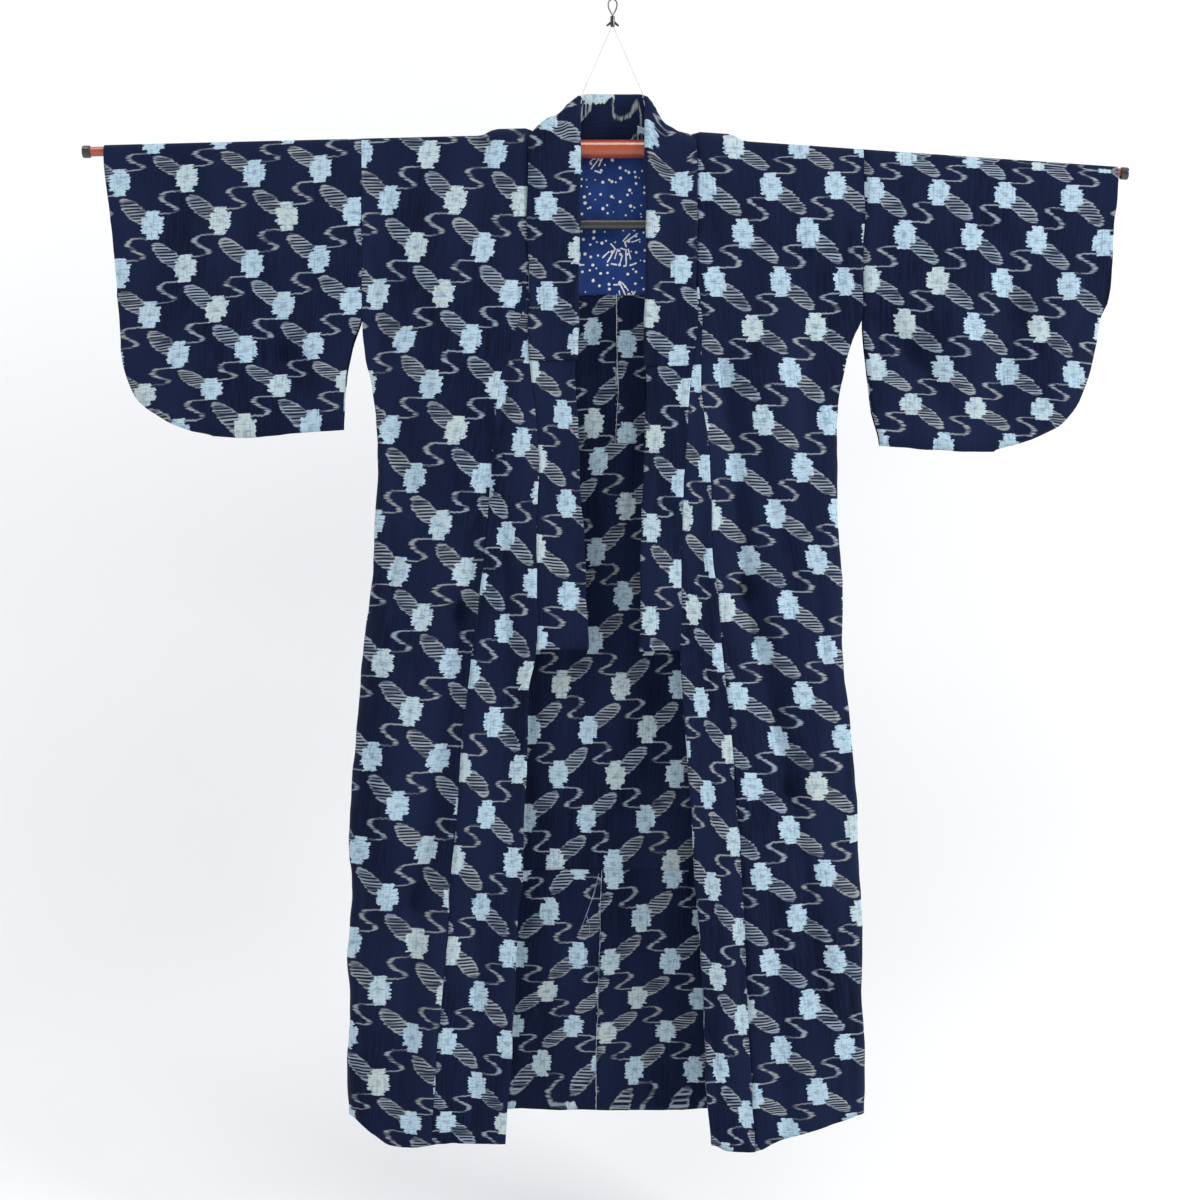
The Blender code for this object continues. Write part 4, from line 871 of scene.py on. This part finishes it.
def seat_lining(mat):
    """One loom width of the same cloth, sewn inside the back over its seam, with turned-in edges."""
    rows, cloth = [], []
    for i in range(LINING_ROWS + 1):
        row, flat = [], []
        drop = lerp(LINING_TOP, LINING_LOW, i / LINING_ROWS)
        edge = min(1.0, (drop - LINING_TOP) / 0.004, (LINING_LOW - drop) / 0.004)
        for j in range(LINING_COLUMNS + 1):
            x = lerp(-LINING_HALF, LINING_HALF, j / LINING_COLUMNS)
            side = LEFT if x < 0 else RIGHT
            row.append(Vector((x, back_depth(side, abs(x), drop) - lerp(0.0010, 0.0019, edge), -drop)))
            lean = LINING_LEAN * (drop - LINING_CROSS[1])
            flat.append((-(x - LINING_CROSS[0] - lean) / 0.0750 * REPEAT_ACROSS, drop - LINING_CROSS[1]))
        rows.append(row)
        cloth.append(flat)
    obj = grid_mesh("seat_lining_cloth", rows, cloth, mat)
    wall = obj.modifiers.new("Wall", "SOLIDIFY")
    wall.thickness = 0.0008
    wall.offset = 0.0
    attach(obj, "root")


class Nodes:
    """Short ways to add and link the nodes of one tree."""

    def __init__(self, tree):
        self.tree = tree

    def add(self, kind, **settings):
        node = self.tree.nodes.new(kind)
        for key, value in settings.items():
            setattr(node, key, value)
        return node

    def link(self, source, target):
        if isinstance(source, (int, float)):
            target.default_value = source
        else:
            self.tree.links.new(source, target)

    def math(self, operation, a, b=0.0, c=0.0, clamp=False):
        node = self.add("ShaderNodeMath", operation=operation, use_clamp=clamp)
        for value, socket in zip((a, b, c), node.inputs):
            self.link(value, socket)
        return node.outputs[0]

    def most(self, *values):
        top = values[0]
        for value in values[1:]:
            top = self.math("MAXIMUM", top, value)
        return top

    def within(self, value, half, soft):
        """1 where a value lies within half of zero, with an edge as wide as soft."""
        node = self.add("ShaderNodeMapRange")
        self.link(self.math("ABSOLUTE", value), node.inputs["Value"])
        node.inputs["From Min"].default_value = half - soft / 2
        node.inputs["From Max"].default_value = half + soft / 2
        node.inputs["To Min"].default_value = 1.0
        node.inputs["To Max"].default_value = 0.0
        return node.outputs[0]

    def box(self, across, down, half_width, half_height, soft=0.0008):
        return self.math("MULTIPLY", self.within(across, half_width, soft), self.within(down, half_height, soft))

    def vector(self, x, y, z=0.0):
        node = self.add("ShaderNodeCombineXYZ")
        for value, socket in zip((x, y, z), node.inputs):
            self.link(value, socket)
        return node.outputs[0]

    def noise(self, vector, scale, detail=2.0, roughness=0.5, dimensions="3D"):
        node = self.add("ShaderNodeTexNoise", noise_dimensions=dimensions)
        self.link(vector, node.inputs["Vector"])
        node.inputs["Scale"].default_value = scale
        node.inputs["Detail"].default_value = detail
        node.inputs["Roughness"].default_value = roughness
        return node.outputs["Fac"]

    def grain(self, u, v, across, down, seed, detail=1.0):
        """Flat noise stretched by its own frequency across and down the cloth."""
        x = self.math("MULTIPLY_ADD", u, across, seed)
        y = self.math("MULTIPLY_ADD", v, down, seed * 1.7)
        return self.noise(self.vector(x, y), 1.0, detail, 0.6, "2D")

    def random(self, x, y, z=0.0):
        node = self.add("ShaderNodeTexWhiteNoise", noise_dimensions="3D")
        self.link(self.vector(x, y, z), node.inputs["Vector"])
        return node.outputs["Value"]

    def span(self, value, low, high, new_low=0.0, new_high=1.0):
        node = self.add("ShaderNodeMapRange")
        self.link(value, node.inputs["Value"])
        for name, number in (("From Min", low), ("From Max", high), ("To Min", new_low), ("To Max", new_high)):
            node.inputs[name].default_value = number
        return node.outputs[0]

    def mix(self, share, first, second):
        node = self.add("ShaderNodeMix", data_type="RGBA")
        self.link(share, node.inputs["Factor"])
        for value, socket in zip((first, second), (node.inputs[6], node.inputs[7])):
            if isinstance(value, tuple):
                socket.default_value = (*value, 1.0)
            else:
                self.tree.links.new(value, socket)
        return node.outputs[2]


def new_material(name, roughness, **sockets):
    mat = bpy.data.materials.new(name)
    mat.use_nodes = True
    shader = mat.node_tree.nodes["Principled BSDF"]
    shader.inputs["Roughness"].default_value = roughness
    for socket, value in sockets.items():
        shader.inputs[socket.replace("_", " ")].default_value = value
    return mat, Nodes(mat.node_tree), shader


def motif_group():
    """One repeat of the woven pattern: a cross, a striped leaf below its right and a curl below its left."""
    tree = bpy.data.node_groups.new("kasuri_motif", "ShaderNodeTree")
    for name in ("Across", "Down", "Stripe"):
        tree.interface.new_socket(name, in_out="INPUT", socket_type="NodeSocketFloat")
    for name in ("Cross", "Leaf", "Curl"):
        tree.interface.new_socket(name, in_out="OUTPUT", socket_type="NodeSocketFloat")
    n = Nodes(tree)
    given = n.add("NodeGroupInput")
    made = n.add("NodeGroupOutput")
    across, down, stripe = given.outputs[0], given.outputs[1], given.outputs[2]
    cross = n.most(*[n.box(across, down, width, height) for width, height in CROSS_BLOCKS])
    away = n.math("SQRT", n.math("ADD", n.math("MULTIPLY", across, across), n.math("MULTIPLY", down, down)))
    eye = n.math("MULTIPLY", n.within(away, 0.0034, 0.0016), 0.26)
    n.link(n.math("SUBTRACT", cross, n.math("MULTIPLY", cross, eye)), made.inputs["Cross"])

    x = n.math("SUBTRACT", across, LEAF_PLACE[0])
    y = n.math("SUBTRACT", down, LEAF_PLACE[1])
    cosine, sine = math.cos(LEAF_TURN), math.sin(LEAF_TURN)
    length = n.math("ADD", n.math("MULTIPLY", x, cosine / LEAF_HALF[0]), n.math("MULTIPLY", y, sine / LEAF_HALF[0]))
    width = n.math("ADD", n.math("MULTIPLY", x, -sine / LEAF_HALF[1]), n.math("MULTIPLY", y, cosine / LEAF_HALF[1]))
    round_ = n.math("SQRT", n.math("ADD", n.math("MULTIPLY", length, length), n.math("MULTIPLY", width, width)))
    inside = n.span(round_, 0.94, 1.04, 1.0, 0.0)
    rim = n.span(round_, 0.70, 0.92)
    n.link(n.math("MULTIPLY", inside, n.most(n.math("MULTIPLY", rim, 0.85), stripe)), made.inputs["Leaf"])

    bend = n.add("ShaderNodeFloatCurve")
    points = bend.mapping.curves[0].points
    for share, place in CURL[1:-1]:
        points.new(share, place)
    points[0].location, points[-1].location = CURL[0], CURL[-1]
    bend.mapping.update()
    n.link(n.span(down, CURL_TOP, CURL_LOW), bend.inputs["Value"])
    middle = n.math("MULTIPLY_ADD", bend.outputs[0], CURL_SPAN, CURL_START)
    half = (CURL_LOW - CURL_TOP) / 2
    level = n.math("SUBTRACT", down, CURL_TOP + half)
    stroke = n.math("MULTIPLY", n.within(n.math("SUBTRACT", across, middle), 0.0031, 0.0034),
                    n.within(level, half + 0.0004, 0.0012))
    upper = n.box(n.math("ADD", across, 0.0165), n.math("SUBTRACT", down, CURL_TOP), 0.0105, 0.0010)
    lower = n.box(n.math("ADD", across, 0.0275), n.math("SUBTRACT", down, CURL_LOW), 0.0085, 0.0010)
    n.link(n.most(stroke, n.math("MULTIPLY", upper, 0.85), n.math("MULTIPLY", lower, 0.85)), made.inputs["Curl"])
    return tree


def kasuri_material(group):
    """Indigo cotton with the pattern dyed into its weft, each pick of thread a little out of place."""
    mat, n, shader = new_material("indigo_kasuri_cotton", 0.9, Sheen_Weight=0.03, Sheen_Roughness=0.5,
                                  Specular_IOR_Level=0.08)
    place = n.add("ShaderNodeUVMap", uv_map="cloth").outputs[0]
    split = n.add("ShaderNodeSeparateXYZ")
    n.link(place, split.inputs[0])
    u, v = split.outputs[0], split.outputs[1]
    picks = n.grain(u, v, 16.0, 470.0, 3.1, 0.0)
    sway = n.grain(u, v, 8.0, 120.0, 11.3, 0.0)
    slip = n.math("MULTIPLY", n.math("SUBTRACT", picks, 0.5), PICK_SLIP)
    slip = n.math("ADD", slip, n.math("MULTIPLY", n.math("SUBTRACT", sway, 0.5), SWAY_SLIP))
    rise = n.grain(u, v, 240.0, 12.0, 7.7, 0.0)
    lift = n.math("MULTIPLY", n.math("SUBTRACT", rise, 0.5), WARP_SLIP)
    side = n.math("ADD", u, slip)
    level = n.math("ADD", v, lift)
    stripe = n.math("FRACT", n.math("DIVIDE", v, 0.0040))
    stripe = n.within(n.math("SUBTRACT", stripe, 0.5), 0.23, 0.16)
    masks = {"Cross": [], "Leaf": [], "Curl": [], "Tone": []}
    for half in (0.0, 0.5):
        across = n.math("ADD", n.math("DIVIDE", side, REPEAT_ACROSS), half + 0.5)
        down = n.math("ADD", n.math("DIVIDE", level, REPEAT_ALONG), half + WINDOW_TOP / REPEAT_ALONG)
        column = n.math("FLOOR", across)
        row = n.math("FLOOR", down)
        node = n.add("ShaderNodeGroup")
        node.node_tree = group
        local = n.math("SUBTRACT", n.math("SUBTRACT", across, column), 0.5)
        n.link(n.math("MULTIPLY", local, REPEAT_ACROSS), node.inputs["Across"])
        local = n.math("MULTIPLY", n.math("SUBTRACT", down, row), REPEAT_ALONG)
        n.link(n.math("SUBTRACT", local, WINDOW_TOP), node.inputs["Down"])
        n.link(stripe, node.inputs["Stripe"])
        tone = n.random(column, row, half)
        for name in ("Cross", "Leaf", "Curl"):
            masks[name].append(node.outputs[name])
        masks["Tone"].append(n.math("MULTIPLY", tone, n.math("CEIL", node.outputs["Cross"])))
    cross, leaf, curl, tone = (n.most(*masks[name]) for name in ("Cross", "Leaf", "Curl", "Tone"))
    threads = n.grain(u, v, 520.0, 24.0, 5.3, 0.0)
    wefts = n.grain(u, v, 34.0, 700.0, 2.9, 0.0)
    faded = n.grain(u, v, 9.0, 3.5, 13.1, 1.0)
    ground = n.mix(n.span(threads, 0.30, 0.70), GROUND_DARK, GROUND_LIGHT)
    ground = n.mix(n.span(faded, 0.35, 0.70), ground, GROUND_WORN)
    pale = n.mix(n.span(tone, 0.60, 1.05), PALE_BLUE, PALE_YELLOW)
    lines = n.most(n.span(wefts, 0.45, 0.70), n.span(threads, 0.50, 0.72))
    blurred = n.grain(u, v, 170.0, 280.0, 21.7, 0.0)
    lines = n.math("MULTIPLY", lines, n.span(blurred, 0.36, 0.62, 0.20, 1.0))
    pale = n.mix(n.math("MULTIPLY", lines, 0.80), pale, PALE_SHADE)
    grey = n.mix(n.span(faded, 0.40, 0.60), LEAF_GREY, LEAF_WARM)
    broken = n.span(n.math("ADD", picks, n.math("MULTIPLY", wefts, 0.6)), 0.62, 0.84, 0.22, 1.0)
    thin = n.most(n.math("MULTIPLY", leaf, 0.92), n.math("MULTIPLY", curl, 0.78))
    colour = n.mix(n.math("MULTIPLY", thin, broken), ground, grey)
    colour = n.mix(cross, colour, pale)
    n.link(colour, shader.inputs["Base Color"])
    crepe = n.grain(u, v, 170.0, 22.0, 17.9, 1.0)
    weave = n.math("MULTIPLY", crepe, 0.0013)
    bump = n.add("ShaderNodeBump")
    bump.inputs["Strength"].default_value = 0.55
    bump.inputs["Distance"].default_value = 1.0
    n.link(weave, bump.inputs["Height"])
    n.link(bump.outputs[0], shader.inputs["Normal"])
    return mat


def print_material():
    """Bright blue cotton printed with white dots and loose sprigs of needles."""
    mat, n, shader = new_material("blue_print_cotton_finish", 0.88, Sheen_Weight=0.04, Specular_IOR_Level=0.1)
    place = n.add("ShaderNodeUVMap", uv_map="cloth").outputs[0]
    dots = n.add("ShaderNodeTexVoronoi", voronoi_dimensions="2D", feature="F1")
    dots.inputs["Scale"].default_value = 1 / DOT_PITCH
    n.link(place, dots.inputs["Vector"])
    size = n.add("ShaderNodeSeparateColor")
    n.link(dots.outputs["Color"], size.inputs[0])
    radius = n.span(size.outputs[0], 0.0, 1.0, 0.07, 0.19)
    blot = n.span(n.math("SUBTRACT", dots.outputs["Distance"], radius), -0.02, 0.02, 1.0, 0.0)
    wobble = n.noise(place, 260.0, 1.0)
    sprigs = n.add("ShaderNodeTexVoronoi", voronoi_dimensions="2D", feature="F1")
    sprigs.inputs["Scale"].default_value = 1 / SPRIG_PITCH
    n.link(place, sprigs.inputs["Vector"])
    shift = n.add("ShaderNodeVectorMath", operation="SUBTRACT")
    n.link(place, shift.inputs[0])
    n.link(sprigs.outputs["Position"], shift.inputs[1])
    chance = n.add("ShaderNodeSeparateColor")
    n.link(sprigs.outputs["Color"], chance.inputs[0])
    strokes = []
    for start, turn, half_length, half_width, aside in NEEDLES:
        spin = n.add("ShaderNodeVectorRotate", rotation_type="Z_AXIS")
        n.link(shift.outputs[0], spin.inputs["Vector"])
        n.link(n.math("MULTIPLY_ADD", chance.outputs[1], 6.283, turn), spin.inputs["Angle"])
        parts = n.add("ShaderNodeSeparateXYZ")
        n.link(spin.outputs[0], parts.inputs[0])
        along = n.math("SUBTRACT", parts.outputs[0], start)
        across = n.math("SUBTRACT", parts.outputs[1], aside)
        edge = n.math("ADD", across, n.math("MULTIPLY", n.math("SUBTRACT", wobble, 0.5), 0.0012))
        strokes.append(n.box(along, edge, half_length, half_width, 0.0005))
    present = n.math("GREATER_THAN", chance.outputs[0], 0.30)
    sprig = n.math("MULTIPLY", n.most(*strokes), present)
    white = n.most(blot, sprig)
    threads = n.noise(place, 700.0, 2.0)
    cloudy = n.noise(place, 28.0, 3.0)
    blue = n.mix(n.span(cloudy, 0.3, 0.7), PRINT_DARK, PRINT_LIGHT)
    n.link(n.mix(n.math("MULTIPLY", white, n.span(threads, 0.3, 0.6, 0.82, 1.0)), blue, PRINT_WHITE),
           shader.inputs["Base Color"])
    bump = n.add("ShaderNodeBump")
    bump.inputs["Strength"].default_value = 0.4
    bump.inputs["Distance"].default_value = 1.0
    n.link(n.math("MULTIPLY", threads, 0.0002), bump.inputs["Height"])
    n.link(bump.outputs[0], shader.inputs["Normal"])
    return mat


def worn_finish(name, dark, light, roughness, scale, grain, **sockets):
    """Smooth moulded or lacquered finish: slight clouding of its colour and faint marks in its gloss."""
    mat, n, shader = new_material(name, roughness, **sockets)
    place = n.add("ShaderNodeTexCoord").outputs["Object"]
    clouds = n.noise(place, scale, 4.0, 0.6)
    marks = n.noise(place, scale * 9.0, 3.0, 0.7)
    n.link(n.mix(n.span(clouds, 0.35, 0.68), dark, light), shader.inputs["Base Color"])
    n.link(n.span(marks, 0.30, 0.75, roughness * 0.75, roughness * 1.35), shader.inputs["Roughness"])
    bump = n.add("ShaderNodeBump")
    bump.inputs["Strength"].default_value = 0.3
    bump.inputs["Distance"].default_value = 1.0
    n.link(n.math("MULTIPLY", marks, grain), bump.inputs["Height"])
    n.link(bump.outputs[0], shader.inputs["Normal"])
    return mat


def dress(node, mat):
    """Give a CAD node its finished material."""
    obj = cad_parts[node]
    for slot in obj.material_slots:
        slot.material = mat


def piece_from(bm, name, mat, nodes=()):
    mesh = bpy.data.meshes.new(name)
    bm.to_mesh(mesh)
    bm.free()
    mesh.materials.append(mat)
    obj = bpy.data.objects.new(name, mesh)
    bpy.context.scene.collection.objects.link(obj)
    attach(obj, "root")
    if nodes:
        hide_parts(*nodes)
    return obj


def tube_along(bm, path, radius, sides=6):
    """Add a round tube through points to a mesh, closed at both ends."""
    rings = []
    for i, point in enumerate(path):
        ahead = (path[min(i + 1, len(path) - 1)] - path[max(i - 1, 0)]).normalized()
        side = ahead.cross(Vector((0.0, 1.0, 0.0)))
        if side.length < 1e-4:
            side = ahead.cross(Vector((1.0, 0.0, 0.0)))
        side.normalize()
        up = side.cross(ahead)
        ring = []
        for k in range(sides):
            turn = 2 * math.pi * k / sides
            ring.append(bm.verts.new(point + radius * (math.cos(turn) * side + math.sin(turn) * up)))
        rings.append(ring)
    for a, b in zip(rings, rings[1:]):
        for k in range(sides):
            bm.faces.new((a[k], b[k], b[(k + 1) % sides], a[(k + 1) % sides])).smooth = True
    bm.faces.new(rings[0])
    bm.faces.new(rings[-1][::-1])


def resampled(path, step):
    """Points at even steps along a bent line."""
    points = [path[0].copy()]
    for a, b in zip(path, path[1:]):
        count = max(1, round((b - a).length / step))
        points += [a.lerp(b, i / count) for i in range(1, count + 1)]
    return points


def string_path(side):
    stops = [Stop(HOOK_LOW + TOUCH + STRING_RADIUS, 0.0016, 0.0)] + STRING_ROUTE
    stops.append(Stop(TUBE_DROP - TUBE_RADIUS - TOUCH, side.string_reach, 0.0))
    return [Vector((side.sign * stop.reach, -stop.forward, -stop.drop)) for stop in stops]


def twine(side, mat):
    """Two-ply string from the hook to the middle tube, with its loop round the tube and a small knot."""
    bm = bmesh.new()
    path = resampled(string_path(side), 0.0012)
    for start in (0.0, math.pi):
        strand = []
        travelled = 0.0
        for i, point in enumerate(path):
            if i:
                travelled += (point - path[i - 1]).length
            turn = start + travelled / TWIST * 2 * math.pi
            strand.append(point + STRING_RADIUS / 2 * Vector((math.cos(turn), math.sin(turn), 0.0)))
        tube_along(bm, strand, STRING_RADIUS * 0.52)
    low = path[-1]
    wrap = []
    for i in range(49):
        turn = 2 * math.pi * 1.9 * i / 48
        reach = TUBE_RADIUS + 0.0006
        wrap.append(Vector((low.x + side.sign * 0.0028 * i / 48, -reach * math.sin(turn),
                            -TUBE_DROP + reach * math.cos(turn))))
    tube_along(bm, wrap, STRING_RADIUS * 0.7)
    knot = bmesh.ops.create_icosphere(bm, subdivisions=2, radius=0.0017)
    bmesh.ops.translate(bm, vec=low + Vector((0.0, -0.0006, 0.0012)), verts=knot["verts"])
    return piece_from(bm, side.name + "_twine", mat, [side.name + "_string"])


def twisted_wire(mat):
    """Drop-shaped loop of two wires twisted together; its inner top is where everything hangs."""
    count = 160
    middle = []
    for i in range(count + 1):
        turn = 2 * math.pi * i / count
        height = (math.cos(turn) + 1) / 2
        middle.append(Vector((0.0072 * math.sin(turn) * height ** 0.45, 0.0, 0.0010 - (1 - height) * 0.0203)))
    bm = bmesh.new()
    for start in (0.0, math.pi):
        strand = []
        travelled = 0.0
        for i, point in enumerate(middle):
            if i:
                travelled += (point - middle[i - 1]).length
            out = Vector((point.x, 0.0, point.z + 0.009)).normalized()
            turn = start + travelled / WIRE_TWIST * 2 * math.pi
            strand.append(point + 0.0006 * (math.cos(turn) * out + math.sin(turn) * Vector((0.0, 1.0, 0.0))))
        tube_along(bm, strand, 0.00062, 8)
    return piece_from(bm, "twisted_wire", mat, ["wire_loop"])


def stitched_seam(mat):
    """Loose selvedge and running stitches of the back seam, seen from inside, with its tied thread ends."""
    bm = bmesh.new()
    steady = random.Random(7)
    for top, low in SEAM_SHOWN:
        drop = top
        while drop < low:
            length = steady.uniform(0.002, 0.009)
            x = curve(BACK_SEAM, "reach", drop) + steady.uniform(-0.0008, 0.0008)
            end = curve(BACK_SEAM, "reach", drop + length) + steady.uniform(-0.0005, 0.0005)
            half = steady.uniform(0.00022, 0.00050)
            depth = back_depth(LEFT, abs(x), drop) - 0.0010
            corners = [Vector((x - half, depth, -drop)), Vector((x + half, depth, -drop)),
                       Vector((end + half, depth, -drop - length)), Vector((end - half, depth, -drop - length))]
            bm.faces.new([bm.verts.new(corner) for corner in corners])
            drop += length + steady.uniform(0.001, 0.006)
    for ends in THREAD_ENDS:
        line = []
        for (x, drop), (low_x, low_drop) in zip(ends, ends[1:]):
            line += [Vector((lerp(x, low_x, i / 8), 0.0105, -lerp(drop, low_drop, i / 8))) for i in range(8)]
        tube_along(bm, line, 0.00042, 5)
    obj = piece_from(bm, "back_seam_thread", mat)
    body = obj.modifiers.new("Body", "SOLIDIFY")
    body.thickness = 0.0003
    return obj


def backdrop():
    """Pale floor that sweeps up into a pale wall behind."""
    bm = bmesh.new()
    profile = [Vector((0, -4.0, FLOOR)), Vector((0, WALL - 0.5, FLOOR))]
    for i in range(1, 12):
        turn = math.pi / 2 * i / 12
        profile.append(Vector((0, WALL - 0.5 + 0.5 * math.sin(turn), FLOOR + 0.5 - 0.5 * math.cos(turn))))
    profile += [Vector((0, WALL, FLOOR + 0.5)), Vector((0, WALL, 2.5))]
    rows = [[bm.verts.new(point + Vector((x, 0, 0))) for point in profile] for x in (-5.0, 5.0)]
    for i in range(len(profile) - 1):
        bm.faces.new((rows[0][i], rows[1][i], rows[1][i + 1], rows[0][i + 1])).smooth = True
    mesh = bpy.data.meshes.new("backdrop")
    bm.to_mesh(mesh)
    bm.free()
    mat, n, shader = new_material("pale_paper", 0.9)
    place = n.add("ShaderNodeTexCoord").outputs["Object"]
    n.link(n.mix(n.noise(place, 3.0, 2.0), (0.46, 0.46, 0.46), (0.50, 0.50, 0.50)), shader.inputs["Base Color"])
    shader.inputs["Emission Color"].default_value = (0.96, 0.97, 1.0, 1.0)
    shader.inputs["Emission Strength"].default_value = 0.44
    mesh.materials.append(mat)
    obj = bpy.data.objects.new("backdrop", mesh)
    bpy.context.scene.collection.objects.link(obj)


def area_light(name, place, target, size, power, colour=(1.0, 1.0, 1.0)):
    light = bpy.data.lights.new(name, "AREA")
    light.shape = "RECTANGLE"
    light.size, light.size_y = size
    light.energy = power
    light.color = colour
    obj = bpy.data.objects.new(name, light)
    obj.location = place
    obj.rotation_euler = (Vector(target) - Vector(place)).to_track_quat("-Z", "Y").to_euler()
    bpy.context.scene.collection.objects.link(obj)


def studio():
    """Soft light from the right and in front, a weaker one from the left, and the photo's camera."""
    area_light("key_light", (2.8, -1.5, 0.5), (0.0, 0.0, -0.7), (0.9, 1.3), 84.0)
    area_light("high_light", (0.4, -1.7, 2.3), (0.0, 0.0, -0.5), (2.0, 0.5), 26.0)
    area_light("fill_light", (-2.7, -2.3, 0.0), (0.0, 0.0, -0.8), (1.6, 2.0), 32.0)
    area_light("wall_light", (-1.6, 0.0, 1.6), (-0.9, WALL, -1.0), (2.4, 0.5), 16.0)
    world = bpy.data.worlds.new("studio_air")
    world.use_nodes = True
    world.node_tree.nodes["Background"].inputs["Color"].default_value = (0.95, 0.97, 1.0, 1.0)
    world.node_tree.nodes["Background"].inputs["Strength"].default_value = 0.46
    bpy.context.scene.world = world
    lens = bpy.data.cameras.new("photo_camera")
    lens.sensor_width = 36.0
    lens.lens = 60.7
    lens.dof.use_dof = False
    camera = bpy.data.objects.new("photo_camera", lens)
    camera.location = (-0.0162, -2.6, -0.771)
    camera.rotation_euler = (math.pi / 2, 0.0, 0.0)
    bpy.context.scene.collection.objects.link(camera)
    bpy.context.scene.camera = camera
    bpy.context.scene.view_settings.view_transform = "Standard"


COLLAR_LOW = -collar_point(LEFT, COLLAR_END, 0.0).z
SEAM_SHOWN = ((0.386, 0.563), (1.128, 1.425))
THREAD_ENDS = (
    ((-0.0178, 1.124), (-0.0235, 1.150), (-0.0345, 1.178), (-0.0420, 1.200)),
    ((-0.0182, 1.126), (-0.0247, 1.150), (-0.0335, 1.178), (-0.0298, 1.190), (-0.0296, 1.204)))
WIRE_TWIST = 0.0052
TWIST = 0.0040
FLOOR = -1.62
WALL = 0.55


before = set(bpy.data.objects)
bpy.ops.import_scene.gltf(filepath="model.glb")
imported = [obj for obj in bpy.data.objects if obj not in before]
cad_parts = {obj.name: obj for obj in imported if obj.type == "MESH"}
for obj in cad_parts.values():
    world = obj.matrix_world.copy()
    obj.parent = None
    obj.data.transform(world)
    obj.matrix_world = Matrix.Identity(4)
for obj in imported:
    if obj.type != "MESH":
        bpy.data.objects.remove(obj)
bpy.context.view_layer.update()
kasuri = kasuri_material(motif_group())
printed = print_material()
lacquer = worn_finish("red_brown_lacquer_finish", (0.30, 0.052, 0.018), (0.38, 0.072, 0.026), 0.22, 14.0, 0.00002,
                      Coat_Weight=0.6, Coat_Roughness=0.08)
black = worn_finish("black_gloss_finish", (0.005, 0.005, 0.006), (0.010, 0.010, 0.011), 0.30, 30.0, 0.000004,
                    Specular_IOR_Level=0.9)
wire = worn_finish("grey_wire_finish", (0.17, 0.16, 0.15), (0.30, 0.29, 0.27), 0.36, 90.0, 0.00002, Metallic=1.0)
cotton_string = worn_finish("pale_string_finish", (0.58, 0.56, 0.52), (0.72, 0.70, 0.66), 0.85, 160.0, 0.00008)
thread = worn_finish("blue_grey_thread_finish", (0.06, 0.10, 0.18), (0.26, 0.32, 0.40), 0.85, 260.0, 0.00004)
for side in (LEFT, RIGHT):
    seam = body_panel(side, kasuri)
    gore(side, seam, kasuri)
    sleeve_panel(side, kasuri)
    twine(side, cotton_string)
    dress(side.name + "_arm", lacquer)
    for node in ("_joint", "_cap", "_link"):
        dress(side.name + node, black)
collar(kasuri)
over_collar(kasuri)
neck_patch(printed)
seat_lining(kasuri)
stitched_seam(thread)
twisted_wire(wire)
dress("centre_tube", lacquer)
dress("belt_bar", black)
dress("hook_anchor", black)
backdrop()
studio()
